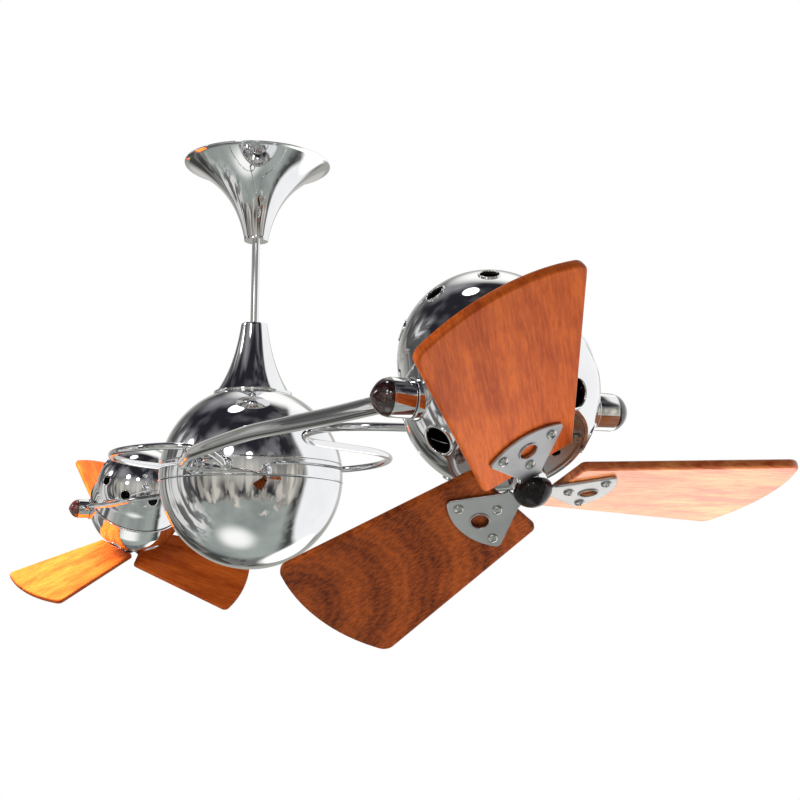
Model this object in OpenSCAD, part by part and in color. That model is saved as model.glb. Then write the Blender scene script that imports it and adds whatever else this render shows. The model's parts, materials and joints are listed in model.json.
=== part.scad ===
// Twin head ceiling fan: a ceiling rod carries a slowly turning sphere belt, whose two bent
// arms hold one tilting motor head each. Lengths are in mm, z is zero at the ceiling.

/* [Overall] */
// Drop from the ceiling to the middle of the sphere
drop = 320; // [260:5:420]
// Distance from the vertical axis to each head pivot
reach = 530; // [480:5:640]
// Diameter of the middle sphere
sphere_d = 180; // [150:2:216]
// Tilt of the front blade axis below the horizontal, degrees
tilt_front = 57.2; // [-90:1:90]
// Tilt of the rear blade axis below the horizontal, degrees
tilt_rear = 45; // [-90:1:90]
// Spin angle of the front blades, degrees
spin_front = -29.8; // [-180:1:180]
// Spin angle of the rear blades, degrees
spin_rear = 56; // [-180:1:180]

/* [Canopy and rod] */
// Diameter of the canopy rim at the ceiling
canopy_d = 147.2; // [120:1:180]
// Height of the canopy
canopy_h = 80; // [70:1:95]
// Diameter of the ceiling rod
rod_d = 8; // [6.5:0.1:10]
// Spacing of the two ceiling screws
screw_pitch = 88.9; // [70:0.1:100]

/* [Arms] */
// Diameter of the bent main tube
tube_d = 12; // [10:0.1:14.4]
// Wall of the main tube
tube_wall = 1.2; // [1:0.1:2]
// Diameter of the sweeping rod
sweep_d = 6.6; // [5.5:0.1:8]
// Height of the sweeping rod above the middle of the sphere
sweep_rise = 19; // [17:1:22]
// Diameter of the pivot barrels
barrel_d = 24.4; // [22:0.1:30]

/* [Heads] */
// Largest diameter of the motor housing
housing_d = 124; // [116:1:132]
// Diameter of the trunnions on which the housing tilts
trunnion_d = 10; // [8.3:0.1:12]
// Diameter of the motor shaft
shaft_d = 8; // [6.6:0.1:9.6]
// Diameter of the motor can
can_d = 80; // [70:1:88]

/* [Blades] */
// Distance from the blade axis to the middle of the blade tip
blade_reach = 171; // [145:1:200]
// Width across the tip corners
tip_w = 100.6; // [84:0.5:112]
// Width at the root
root_w = 61.6; // [56:0.5:70]
// Blade thickness
blade_t = 6; // [5:0.1:7.5]
// Pitch of the blades, degrees
blade_pitch = 16.8; // [8:0.1:20]
// Height of the blade middle plane above the pivot, along the blade axis
blade_s = 60.3; // [58:0.1:64]

/* [Fits] */
// Radial clearance of every running fit
run_fit = 0.05; // [0.02:0.01:0.1]
// Radial clearance of parts that are fixed in place
seat_fit = 0.05; // [0.02:0.01:0.1]
// Radial clearance of the wide parts fixed inside the belt
wide_fit = 0.15; // [0.1:0.01:0.3]
// Open line between the fixed and the turning part of the sphere
belt_gap = 0.4; // [0.3:0.1:1]

/* [Hidden] */
$fn = 96;
eps = 1;
chrome = [0.82, 0.83, 0.85];
steel = [0.62, 0.63, 0.65];
dark = [0.12, 0.1, 0.1];
wood = [0.5, 0.22, 0.1];
copper = [0.72, 0.42, 0.25];

// Middle sphere
sphere_r = sphere_d / 2;
shell_wall = 2.5;
shell_ri = sphere_r - shell_wall;
socket_z = 4;
belt_top = socket_z + tube_d / 2 + 2;
belt_bottom = -6;
belt_ri = sphere_r - 6;
cap_h = 0.905 * sphere_r;
cap_wall = 3;
cap_r = sqrt(sphere_r * sphere_r - cap_h * cap_h);
plate_z = 0;
plate_t = 5;
spigot_t = 2.5;
spigot_h = 4;
boss_reach = 6;
socket_floor = 1.5;
socket_r = belt_ri + socket_floor;
shell_screw_d = 3;
shell_screw_angles = [105, 225];

// Ceiling rod and its parts
rod_r = rod_d / 2;
bearing_ro = rod_r + 7;
bearing_w = 7;
hub_ro = bearing_ro + 4;
hub_half = 14;
collar_ro = rod_r + 2.5;
collar_h = 9;
nut_h = 6;
nut_ro = rod_r + 4;
rod_end = hub_half + nut_h + 4;
slip_z = 40;
slip_h = 20;
slip_r = rod_r + 3;
ring_r = rod_r + 5;
ring_w = 3;
ring_step = 6;
brush_x = ring_r + 8;
brush_w = 8;

// Ceiling bracket
bracket_t = 3;
bracket_l = 112;
bracket_w = 34;
hanger_ro = rod_r + 7;
hanger_h = 34;
pin_d = 4;
pin_l = 2 * hanger_ro;
pin_z = -22;
ceiling_screw_d = 4.8;
canopy_wall = 1.4;
canopy_neck = 5;
canopy_decay = 0.43 * canopy_h;
rim_screw_z = -6;
rim_screw_angle = -26;
neck_screw_z = -43.6;
neck_screw_angle = -6;
neck_ring_ro = 12;

// Cone cover and top disc
disc_t = 3;
disc_r = cap_r + 0.4;
cone_h = 69;
cone_neck = 7;
cone_r = 29;
cone_decay = 44;
cone_wall = 1.4;

// Arms
tube_r = tube_d / 2;
sweep_r = sweep_d / 2;
barrel_r = barrel_d / 2;
barrel_y = 63;
barrel_l = tube_d + 2;
barrel_end = barrel_y + barrel_l;
socket_depth = 4.6;
arm_x = reach - barrel_r + socket_depth;
cap_stud_r = 3;
cap_stud_l = 3;
cap_len = 12;
main_angle = -52;
sweep_angle = 148;

// Housing
house_r = housing_d / 2;
house_wall = 2;
seam_s = -18;
dome_r = 58;
dome_s = -37;
bead_r = 1.6;
bead_s = -16.2;
bowl_back = 11.3;
lip_s = 34;
lip_r = sqrt(house_r * house_r - lip_s * (lip_s + 2 * bowl_back));
ledge = 1.4;
boss_r = 13.5;
boss_y = 62.7;
trunnion_r = trunnion_d / 2;
trunnion_out = barrel_y + barrel_l - 6;
vent_r = 6.4;
vent_angle = 64;
mouth_r = 9.2;
mouth_polar = 52;
mouth_first = 36;
front_t = 2;
front_r = lip_r - house_wall - seat_fit;
front_s = lip_s - front_t;
front_boss_r = 14;
plate_screw_r = can_d / 2 - 4;
plate_screw_hole = 1.7;
plate_screw_depth = 8;
view_hole_r = 3;
shaft_r = shaft_d / 2;
mbear_ro = shaft_r + 7;
mbear_w = 7;
can_r = can_d / 2;
can_wall = 8;
can_top = front_s;
can_bottom = -36;
can_floor = 3;
rotor_r = can_r - can_wall - 0.6;
rotor_s0 = -24;
rotor_s1 = 16;
shaft_s0 = -32;

// Hub, blades and irons
hub_r = 10.5;
hub_s0 = 50;
hub_s1 = blade_s + 5;
shaft_s1 = hub_s1 - 4;
nose_r = 11.8;
nose_h = 11.8;
root_r = 18.9;
root_corner = 4;
tip_corner = 8;
tip_bulge = 12;
tip_r = blade_reach - tip_bulge;
iron_t = 2;
iron_reach = 53;
iron_corner_r = 43;
iron_half = 24;
iron_corner = 3.5;
iron_neck = 7;
iron_hole_r = 38.8;
iron_hole_d = 10.6;
screw_r1 = 42;
screw_w1 = 16;
screw_r2 = 25.5;
screw_hole_r = 1.6;
screw_shank_r = 1.55;
screw_head_r = 3;
screw_head_h = 1.8;
screw_l = 4;

// ---- helpers ----

// Places children at the middle of the sphere
module at_sphere() {
    translate([0, 0, -drop]) children();
}

// Places children in the frame of a head: z runs along its blade axis
module in_head(turn, tilt) {
    at_sphere() rotate([0, 0, turn]) translate([reach, 0, 0]) rotate([0, 90 + tilt, 0]) children();
}

module front_head() {
    in_head(0, tilt_front) children();
}

module rear_head() {
    in_head(180, tilt_rear) children();
}

// Flaring profile radius at height h above the wide end
function flare(h, neck, width, decay) = neck + width * exp(-h / decay);

// Closed flaring shell, wide end at z = 0 and rising
module flare_shell(height, neck, width, decay, wall) {
    steps = 24;
    outer = [for (i = [0 : steps]) [flare(height * i / steps, neck, width, decay), height * i / steps]];
    inner = [for (i = [steps : -1 : 0]) [outer[i][0] - wall, outer[i][1]]];
    rotate_extrude() polygon(concat(outer, inner));
}

module ring(ro, ri, h) {
    difference() {
        cylinder(r = ro, h = h);
        translate([0, 0, -eps]) cylinder(r = ri, h = h + 2 * eps);
    }
}

// Pan head screw with its head on z = 0 and its shank running down
module pan_screw(head_r, head_h, shank_r, length) {
    difference() {
        union() {
            cylinder(r = head_r, h = head_h);
            translate([0, 0, -length]) cylinder(r = shank_r, h = length + eps);
        }
        for (a = [0, 90])
            rotate([0, 0, a])
                translate([-head_r * 0.55, -head_r * 0.14, head_h * 0.45])
                    cube([head_r * 1.1, head_r * 0.28, head_h]);
    }
}

function unit(v) = v / norm(v);
function polar(r, a, z) = [r * cos(a), r * sin(a), z];

// Smooth curve through the control points, n pieces per span
function at_end(p, i) = p[max(0, min(len(p) - 1, i))];
function blend(a, b, c, d, t) =
    0.5 * (2 * b + (c - a) * t + (2 * a - 5 * b + 4 * c - d) * t * t
    + (3 * b - a - 3 * c + d) * t * t * t);
function smooth_path(p, n) = concat(
    [for (i = [0 : len(p) - 2], j = [0 : n - 1])
        blend(at_end(p, i - 1), p[i], p[i + 1], at_end(p, i + 2), j / n)],
    [p[len(p) - 1]]);
function heading(p, i) = unit(at_end(p, i + 1) - at_end(p, i - 1));

// One ring of points around the curve
function loop_at(p, i, r, sides) =
    let (t = heading(p, i), side = unit(cross(t, [0, 0, 1])), top = cross(side, t))
    [for (k = [0 : sides - 1]) p[i] + r * (cos(360 * k / sides) * side + sin(360 * k / sides) * top)];

function skin(rings, sides, base, flip) =
    [for (i = [0 : rings - 2], k = [0 : sides - 1], half = [0, 1])
        let (a = base + i * sides + k, b = base + i * sides + (k + 1) % sides,
            c = a + sides, d = b + sides,
            tri = half == 0 ? [a, b, c] : [b, d, c])
        flip ? [tri[2], tri[1], tri[0]] : tri];

function end_band(sides, outer, inner, flip) =
    [for (k = [0 : sides - 1], half = [0, 1])
        let (a = outer + k, b = outer + (k + 1) % sides, c = inner + k, d = inner + (k + 1) % sides,
            tri = half == 0 ? [a, c, b] : [b, c, d])
        flip ? [tri[2], tri[1], tri[0]] : tri];

// Round bar along the curve
module swept_bar(path, r, sides) {
    rings = len(path);
    points = [for (i = [0 : rings - 1]) each loop_at(path, i, r, sides)];
    first = [for (k = [sides - 1 : -1 : 0]) k];
    last = [for (k = [0 : sides - 1]) (rings - 1) * sides + k];
    polyhedron(points, concat([first], skin(rings, sides, 0, false), [last]));
}

// Hollow tube along the curve
module swept_tube(path, r, wall, sides) {
    rings = len(path);
    far = (rings - 1) * sides;
    inner = rings * sides;
    points = concat(
        [for (i = [0 : rings - 1]) each loop_at(path, i, r, sides)],
        [for (i = [0 : rings - 1]) each loop_at(path, i, r - wall, sides)]);
    polyhedron(points, concat(
        skin(rings, sides, 0, false),
        skin(rings, sides, inner, true),
        end_band(sides, 0, inner, false),
        end_band(sides, far, inner + far, true)));
}

// ---- ceiling mount, rod and fixed half of the sphere ----

module ceiling_bracket() {
    color(steel) difference() {
        union() {
            translate([-bracket_l / 2, -bracket_w / 2, -bracket_t]) cube([bracket_l, bracket_w, bracket_t]);
            translate([0, 0, -hanger_h]) cylinder(r = hanger_ro, h = hanger_h);
        }
        translate([0, 0, -hanger_h - eps]) cylinder(r = rod_r + seat_fit, h = hanger_h - bracket_t + eps);
        for (x = [-1, 1])
            translate([x * screw_pitch / 2, 0, -bracket_t - eps])
                cylinder(r = ceiling_screw_d / 2 + 0.2, h = bracket_t + 2 * eps);
        translate([0, -hanger_ro - eps, pin_z]) rotate([-90, 0, 0])
            cylinder(r = pin_d / 2 + seat_fit, h = 2 * hanger_ro + 2 * eps);
    }
}

canopy_width = canopy_d / 2 - canopy_neck;
function canopy_r(z) = flare(-z, canopy_neck, canopy_width, canopy_decay);

module canopy() {
    color(chrome) difference() {
        union() {
            rotate([180, 0, 0]) flare_shell(canopy_h, canopy_neck, canopy_width, canopy_decay, canopy_wall);
            translate([0, 0, -canopy_h]) ring(neck_ring_ro, rod_r + seat_fit, 3);
            translate([0, 0, -1.5]) ring(canopy_d / 2 + 0.6, canopy_d / 2 - 3, 1.5);
        }
        canopy_holes();
    }
}

module rim_screw_place() {
    for (a = [0, 180])
        rotate([0, 0, rim_screw_angle + a]) translate([canopy_r(rim_screw_z) - 0.9, 0, rim_screw_z])
            rotate([0, 90, 0]) children();
}

module neck_screw_place() {
    rotate([0, 0, neck_screw_angle]) translate([canopy_r(neck_screw_z) - 0.4, 0, neck_screw_z])
        rotate([0, 90, 0]) children();
}

module canopy_holes() {
    rim_screw_place() translate([0, 0, -6]) cylinder(r = 1.5 + seat_fit, h = 12);
    neck_screw_place() translate([0, 0, -6]) cylinder(r = 1.2 + seat_fit, h = 12);
    rim_screw_place() cylinder(r = 3 + seat_fit, h = 12);
    neck_screw_place() cylinder(r = 2.4 + seat_fit, h = 12);
}

module canopy_screws() {
    color(steel) {
        rim_screw_place() pan_screw(3, 1.8, 1.5, 5);
        neck_screw_place() pan_screw(2.4, 1.8, 1.2, 4);
    }
}

module downrod() {
    color(chrome) difference() {
        translate([0, 0, -drop - rod_end]) cylinder(r = rod_r, h = drop + rod_end - bracket_t);
        translate([0, -rod_r - eps, pin_z]) rotate([-90, 0, 0])
            cylinder(r = pin_d / 2 + seat_fit, h = 2 * rod_r + 2 * eps);
    }
}

module hanger_pin() {
    color(steel) translate([0, -pin_l / 2, pin_z]) rotate([-90, 0, 0]) cylinder(r = pin_d / 2, h = pin_l);
}

module cone_cover() {
    color(chrome) at_sphere() translate([0, 0, cap_h + disc_t])
        difference() {
            union() {
                flare_shell(cone_h, cone_neck, cone_r, cone_decay, cone_wall);
                translate([0, 0, cone_h - 3])
                    cylinder(r = flare(cone_h, cone_neck, cone_r, cone_decay) - 0.5, h = 3);
            }
            translate([0, 0, cone_h - 3 - eps]) cylinder(r = rod_r + seat_fit, h = 3 + 2 * eps);
        }
}

module top_disc() {
    color(chrome) at_sphere() translate([0, 0, cap_h]) ring(disc_r, rod_r + seat_fit, disc_t);
}

module upper_shell() {
    color(chrome) at_sphere() difference() {
        intersection() {
            sphere(r = sphere_r);
            translate([0, 0, belt_top + belt_gap]) cylinder(r = sphere_r, h = cap_h - belt_top - belt_gap);
        }
        intersection() {
            sphere(r = shell_ri);
            translate([0, 0, -sphere_r]) cylinder(r = sphere_r, h = sphere_r + cap_h - cap_wall);
        }
        translate([0, 0, belt_top]) cylinder(r = rod_r + seat_fit, h = cap_h);
    }
}

module spindle_collar() {
    color(steel) at_sphere() translate([0, 0, hub_half + run_fit])
        ring(collar_ro, rod_r + seat_fit, collar_h);
}

module spindle_nut() {
    color(steel) at_sphere() translate([0, 0, -hub_half - nut_h - run_fit]) difference() {
        cylinder(r = nut_ro, h = nut_h, $fn = 6);
        translate([0, 0, -eps]) cylinder(r = rod_r + seat_fit, h = nut_h + 2 * eps);
    }
}

module slip_ring() {
    color(copper) at_sphere() translate([0, 0, slip_z]) difference() {
        union() {
            cylinder(r = slip_r, h = slip_h);
            for (k = [0 : 2])
                translate([0, 0, 2 + k * ring_step]) cylinder(r = ring_r, h = ring_w);
        }
        translate([0, 0, -eps]) cylinder(r = rod_r + seat_fit, h = slip_h + 2 * eps);
    }
}

// ---- turning belt and lower half of the sphere ----

module main_socket(r, from, h) {
    for (a = [0, 180])
        rotate([0, 0, main_angle + a]) translate([from, 0, socket_z]) rotate([0, 90, 0])
            cylinder(r = r, h = h);
}

module sweep_socket(r, from, h) {
    for (a = [0, 180])
        rotate([0, 0, sweep_angle + a]) translate([from, 0, socket_z]) rotate([0, 90, 0])
            cylinder(r = r, h = h);
}

module arm_ring() {
    color(chrome) at_sphere() difference() {
        union() {
            intersection() {
                sphere(r = sphere_r);
                translate([0, 0, belt_bottom]) cylinder(r = sphere_r, h = belt_top - belt_bottom);
            }
            main_socket(tube_r + 1.8, sphere_r - 5, boss_reach + 5);
            sweep_socket(sweep_r + 1.6, sphere_r - 5, boss_reach + 5);
        }
        translate([0, 0, belt_bottom - eps]) cylinder(r = belt_ri, h = belt_top - belt_bottom + 2 * eps);
        main_socket(tube_r + seat_fit, socket_r, 20);
        sweep_socket(sweep_r + seat_fit, socket_r, 20);
        for (a = shell_screw_angles)
            rotate([0, 0, a]) translate([belt_ri - eps, 0, belt_bottom + spigot_h / 2]) rotate([0, 90, 0])
                cylinder(r = shell_screw_d / 2 + seat_fit, h = 12);
    }
}

module arm_plate() {
    color(steel) at_sphere() difference() {
        union() {
            translate([0, 0, plate_z]) cylinder(r = belt_ri - wide_fit, h = plate_t);
            translate([0, 0, -hub_half]) cylinder(r = hub_ro, h = 2 * hub_half);
        }
        translate([0, 0, -hub_half - eps]) cylinder(r = bearing_ro - 2, h = 2 * hub_half + 2 * eps);
        for (z = [-hub_half - eps, hub_half - bearing_w])
            translate([0, 0, z]) cylinder(r = bearing_ro + seat_fit, h = bearing_w + eps);
        for (a = [30 : 60 : 330])
            rotate([0, 0, a]) translate([0.6 * belt_ri, 0, plate_z - eps])
                cylinder(r = 0.15 * belt_ri, h = plate_t + 2 * eps);
    }
}

module spindle_bearings() {
    color(steel) at_sphere() for (z = [-hub_half, hub_half - bearing_w])
        translate([0, 0, z]) difference() {
            cylinder(r = bearing_ro, h = bearing_w);
            translate([0, 0, -eps]) cylinder(r = rod_r + run_fit, h = bearing_w + 2 * eps);
            for (h = [-eps, bearing_w - 0.5])
                translate([0, 0, h]) ring(bearing_ro - 2, rod_r + 2, 0.5 + eps);
        }
}

module brush_holder() {
    color(dark) at_sphere() {
        translate([brush_x, -brush_w / 2, plate_z + plate_t])
            cube([brush_w, brush_w, slip_z + slip_h - plate_t]);
        for (k = [0 : 2])
            translate([0, 0, slip_z + 2 + k * ring_step]) difference() {
                translate([0, -brush_w / 2, 0.4]) cube([brush_x + 1, brush_w, ring_w - 0.8]);
                translate([0, 0, -eps]) cylinder(r = ring_r + run_fit, h = ring_w + 2 * eps);
            }
    }
}

module lower_shell() {
    color(chrome) at_sphere() difference() {
        union() {
            intersection() {
                sphere(r = sphere_r);
                translate([0, 0, -sphere_r]) cylinder(r = sphere_r, h = sphere_r + belt_bottom);
            }
            translate([0, 0, belt_bottom - 4]) cylinder(r = belt_ri - wide_fit, h = 4 + spigot_h);
        }
        intersection() {
            sphere(r = shell_ri);
            translate([0, 0, -sphere_r]) cylinder(r = sphere_r, h = sphere_r + belt_bottom - 4);
        }
        translate([0, 0, belt_bottom - 4 - eps])
            cylinder(r = belt_ri - spigot_t, h = 4 + spigot_h + 2 * eps);
        for (a = shell_screw_angles)
            rotate([0, 0, a]) translate([belt_ri - spigot_t - eps, 0, belt_bottom + spigot_h / 2])
                rotate([0, 90, 0]) cylinder(r = shell_screw_d / 2 + seat_fit, h = 12);
    }
}

module shell_screws() {
    color(steel) at_sphere() for (a = shell_screw_angles)
        rotate([0, 0, a]) translate([belt_ri - spigot_t, 0, belt_bottom + spigot_h / 2]) rotate([0, 90, 0])
            cylinder(r = shell_screw_d / 2, h = sphere_r - belt_ri + spigot_t - 0.6);
}

// ---- arms ----

// Control points of the main tube, from the barrel to the belt
span = reach - sphere_r;
main_y = barrel_y + barrel_l / 2;
function out(t) = sphere_r + t * span;
side_y = main_y + 20;
main_points = [
    [arm_x, -main_y, 0],
    [arm_x - 6, -main_y, 0],
    [arm_x - 14, -main_y, 0],
    [out(0.9), -main_y - 3, 0],
    [out(0.77), -main_y - 9, 1],
    [out(0.62), -main_y - 16, 3],
    [out(0.48), -side_y - 1, 5],
    [out(0.34), -side_y - 4, 5.5],
    [out(0.22), -side_y - 6, 5.2],
    [out(0.11), -side_y - 5.5, 4.8],
    [out(0.04), -side_y - 1, 4.4],
    polar(sphere_r + 17, main_angle, socket_z),
    polar(sphere_r + 11, main_angle, socket_z),
    polar(sphere_r + 5, main_angle, socket_z),
    polar(socket_r, main_angle, socket_z)
];

// Control points of the sweeping rod, from the barrel round the sphere to the belt
sweep_points = [
    [arm_x, main_y, 0],
    [arm_x - 6, main_y, 0],
    [arm_x - 14, main_y, 0],
    [out(0.89), main_y - 2, 0],
    [out(0.83), main_y - 11, 0],
    [out(0.77), main_y - 21, 0.5],
    [out(0.70), 36, 3],
    [out(0.635), 14, 6],
    [out(0.58), -5, 8.5],
    [out(0.52), -17, 11],
    [out(0.44), -22, 14],
    [out(0.33), -20, 17],
    [out(0.23), -11, sweep_rise],
    [out(0.14), 10, sweep_rise],
    polar(sphere_r + 46.5, 20, sweep_rise),
    polar(sphere_r + 46, 42, sweep_rise),
    polar(sphere_r + 46, 66, sweep_rise),
    polar(sphere_r + 44.5, 90, sweep_rise - 0.5),
    polar(sphere_r + 41.5, 112, sweep_rise - 1),
    polar(sphere_r + 32, 130, sweep_rise - 1),
    polar(sphere_r + 21, 141, sweep_rise - 5),
    polar(sphere_r + 13, 146.5, socket_z + 3.6),
    polar(sphere_r + 9, sweep_angle, socket_z),
    polar(sphere_r + 7, sweep_angle, socket_z),
    polar(sphere_r + 3, sweep_angle, socket_z),
    polar(socket_r, sweep_angle, socket_z)
];

module main_tube(turn) {
    color(chrome) at_sphere() rotate([0, 0, turn])
        swept_tube(smooth_path(main_points, 4), tube_r, tube_wall, 20);
}

module sweep_rod(turn) {
    color(chrome) at_sphere() rotate([0, 0, turn])
        swept_bar(smooth_path(sweep_points, 3), sweep_r, 14);
}

module pivot_barrels(turn) {
    color(chrome) at_sphere() rotate([0, 0, turn]) for (s = [-1, 1])
        translate([reach, 0, 0]) rotate([-90 * s, 0, 0]) translate([0, 0, barrel_y]) difference() {
            cylinder(r = barrel_r, h = barrel_l);
            translate([0, 0, -eps]) cylinder(r = trunnion_r + run_fit, h = barrel_l - 5 + eps);
            translate([0, 0, barrel_l - cap_stud_l - 0.4])
                cylinder(r = cap_stud_r + seat_fit, h = cap_stud_l + 0.4 + eps);
            translate([-barrel_r - eps, 0, barrel_l / 2]) rotate([0, 90, 0])
                cylinder(r = (s < 0 ? tube_r : sweep_r) + seat_fit, h = socket_depth + eps);
        }
}

// Pointed dome turned from wood, flat on z = 0
module knob(r, h) {
    steps = 14;
    rotate_extrude() polygon(concat([[0, 0]],
        [for (i = [0 : steps]) [r * pow(cos(90 * i / steps), 0.8), h * pow(sin(90 * i / steps), 1.15)]]));
}

module knob_caps(turn) {
    color(wood) at_sphere() rotate([0, 0, turn]) for (s = [-1, 1])
        translate([reach, 0, 0]) rotate([-90 * s, 0, 0]) translate([0, 0, barrel_end]) union() {
            knob(barrel_r, cap_len);
            translate([0, 0, -cap_stud_l]) cylinder(r = cap_stud_r, h = cap_stud_l + eps);
        }
}

// ---- motor heads ----

// Domed solid of radius r, closed to the rear, its taper running on past the seam by extra
module dome_solid(r, extra) {
    slope = (house_r - 1 - dome_r) / (seam_s - dome_s);
    run = seam_s - dome_s + extra;
    translate([0, 0, dome_s]) {
        intersection() {
            sphere(r = r);
            translate([0, 0, -r]) cylinder(r = r, h = r);
        }
        cylinder(r1 = r, r2 = r + slope * run, h = run);
    }
}

module rear_dome() {
    color(chrome) difference() {
        dome_solid(dome_r, 0);
        dome_solid(dome_r - house_wall, eps);
        for (a = [35 : 40 : 355])
            rotate([0, 0, a]) translate([0, 0, dome_s]) rotate([0, 180 - vent_angle, 0])
                translate([0, 0, dome_r - 12]) cylinder(r = vent_r, h = 24);
    }
}

// Bowl-shaped body inset by the wall w, its front cut flat at height top
module bowl_solid(w, top, extra) {
    r = house_r - w;
    intersection() {
        translate([0, 0, -bowl_back]) sphere(r = sqrt(r * r + bowl_back * bowl_back));
        translate([0, 0, seam_s - extra]) cylinder(r = r, h = top + extra - seam_s);
    }
}

module front_shell() {
    color(chrome) difference() {
        union() {
            bowl_solid(0, lip_s, 0);
            translate([0, 0, bead_s]) rotate_extrude() translate([house_r - 0.8, 0])
                circle(r = bead_r, $fn = 24);
            for (s = [-1, 1]) rotate([-90 * s, 0, 0]) {
                translate([0, 0, house_r - 9]) cylinder(r = boss_r, h = boss_y - house_r + 9);
                translate([0, 0, boss_y - eps]) cylinder(r = trunnion_r, h = trunnion_out - boss_y + eps);
            }
        }
        bowl_solid(house_wall, front_s - ledge, eps);
        translate([0, 0, front_s - 2 * ledge]) cylinder(r = lip_r - house_wall - ledge, h = 3 * ledge);
        translate([0, 0, front_s]) cylinder(r = lip_r - house_wall, h = front_t + eps);
        for (a = [mouth_first : 60 : mouth_first + 300])
            rotate([0, 0, a]) translate([0, 0, -bowl_back]) rotate([0, mouth_polar, 0])
                translate([0, 0, house_r - 10]) cylinder(r = mouth_r, h = 20);
    }
}

module plate_screw_place() {
    for (a = [20 : 90 : 290]) rotate([0, 0, a]) translate([plate_screw_r, 0, 0]) children();
}

module front_plate() {
    color(chrome) difference() {
        union() {
            translate([0, 0, front_s]) cylinder(r = front_r, h = front_t);
            translate([0, 0, front_s - mbear_w - 1]) cylinder(r = front_boss_r, h = mbear_w + 1 + eps);
        }
        translate([0, 0, front_s - mbear_w - 1 - eps])
            cylinder(r = mbear_ro + seat_fit, h = mbear_w + 1 + eps);
        translate([0, 0, front_s - eps]) cylinder(r = shaft_r + 1, h = front_t + 2 * eps);
        plate_screw_place() translate([0, 0, front_s - eps])
            cylinder(r = plate_screw_hole + seat_fit, h = front_t + 2 * eps);
        for (a = [24 : 60 : 324])
            rotate([0, 0, a]) translate([plate_screw_r - 8, 0, front_s - eps])
                cylinder(r = view_hole_r, h = front_t + 2 * eps);
    }
}

module plate_screws() {
    color(steel) plate_screw_place() translate([0, 0, front_s + front_t])
        pan_screw(3.2, 2, plate_screw_hole, front_t + plate_screw_depth);
}

module motor_can() {
    color(steel) difference() {
        translate([0, 0, can_bottom]) cylinder(r = can_r, h = can_top - can_bottom);
        translate([0, 0, can_bottom + can_floor + mbear_w])
            cylinder(r = can_r - can_wall, h = can_top - can_bottom);
        translate([0, 0, can_bottom + can_floor]) cylinder(r = mbear_ro + seat_fit, h = mbear_w + eps);
        plate_screw_place() translate([0, 0, can_top - plate_screw_depth - 0.5])
            cylinder(r = plate_screw_hole + seat_fit, h = plate_screw_depth + 0.5 + eps);
    }
}

module motor_bearings() {
    color(steel) for (z = [can_bottom + can_floor, front_s - mbear_w])
        translate([0, 0, z]) difference() {
            cylinder(r = mbear_ro, h = mbear_w);
            translate([0, 0, -eps]) cylinder(r = shaft_r + run_fit, h = mbear_w + 2 * eps);
            for (h = [-eps, mbear_w - 0.5])
                translate([0, 0, h]) ring(mbear_ro - 2, shaft_r + 2, 0.5 + eps);
        }
}

module rotor() {
    color(steel) union() {
        translate([0, 0, shaft_s0]) cylinder(r = shaft_r, h = shaft_s1 - shaft_s0);
        translate([0, 0, rotor_s0]) cylinder(r = rotor_r, h = rotor_s1 - rotor_s0);
    }
}

module blade_hub() {
    color(steel) difference() {
        translate([0, 0, hub_s0]) cylinder(r = hub_r, h = hub_s1 - hub_s0);
        translate([0, 0, hub_s0 - eps]) cylinder(r = shaft_r + seat_fit, h = shaft_s1 - hub_s0 + eps);
    }
}

module nose_cap() {
    color(dark) translate([0, 0, hub_s1]) knob(nose_r, nose_h);
}

module blade_outline() {
    half_root = root_w / 2;
    half_tip = tip_w / 2;
    steps = 6;
    arc_n = 14;
    tip_rad = (half_tip * half_tip + tip_bulge * tip_bulge) / (2 * tip_bulge);
    lean = atan((half_tip - half_root) / (tip_r - root_r));
    top_a = asin((half_tip - tip_corner) / (tip_rad - tip_corner));
    tip_cx = blade_reach - tip_rad;
    cx = tip_cx + (tip_rad - tip_corner) * cos(top_a);
    cy = (tip_rad - tip_corner) * sin(top_a);
    root_cx = root_r + root_corner;
    root_cy = half_root - root_corner;
    side = concat(
        [for (i = [0 : arc_n]) let (a = top_a * i / arc_n) [tip_cx + tip_rad * cos(a), tip_rad * sin(a)]],
        [for (i = [1 : steps]) let (a = top_a + (90 + lean - top_a) * i / steps)
            [cx + tip_corner * cos(a), cy + tip_corner * sin(a)]],
        [for (i = [0 : steps]) let (a = 90 + lean + (90 - lean) * i / steps)
            [root_cx + root_corner * cos(a), root_cy + root_corner * sin(a)]]);
    polygon(concat(side, [for (i = [len(side) - 1 : -1 : 1]) [side[i][0], -side[i][1]]]));
}

// Places children on the pitched plane of blade k
module on_blade(k, spin) {
    rotate([0, 0, spin + 120 * (k - 1)]) translate([0, 0, blade_s]) rotate([blade_pitch, 0, 0]) children();
}

module iron_screw_place() {
    for (p = [[screw_r1, screw_w1], [screw_r1, -screw_w1], [screw_r2, 0]])
        translate([p[0], p[1], blade_t / 2]) children();
}

module blade(k, spin) {
    color(wood) on_blade(k, spin) difference() {
        translate([0, 0, -blade_t / 2]) linear_extrude(height = blade_t) blade_outline();
        iron_screw_place() translate([0, 0, -screw_l]) cylinder(r = screw_hole_r, h = screw_l + eps);
    }
}

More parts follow.
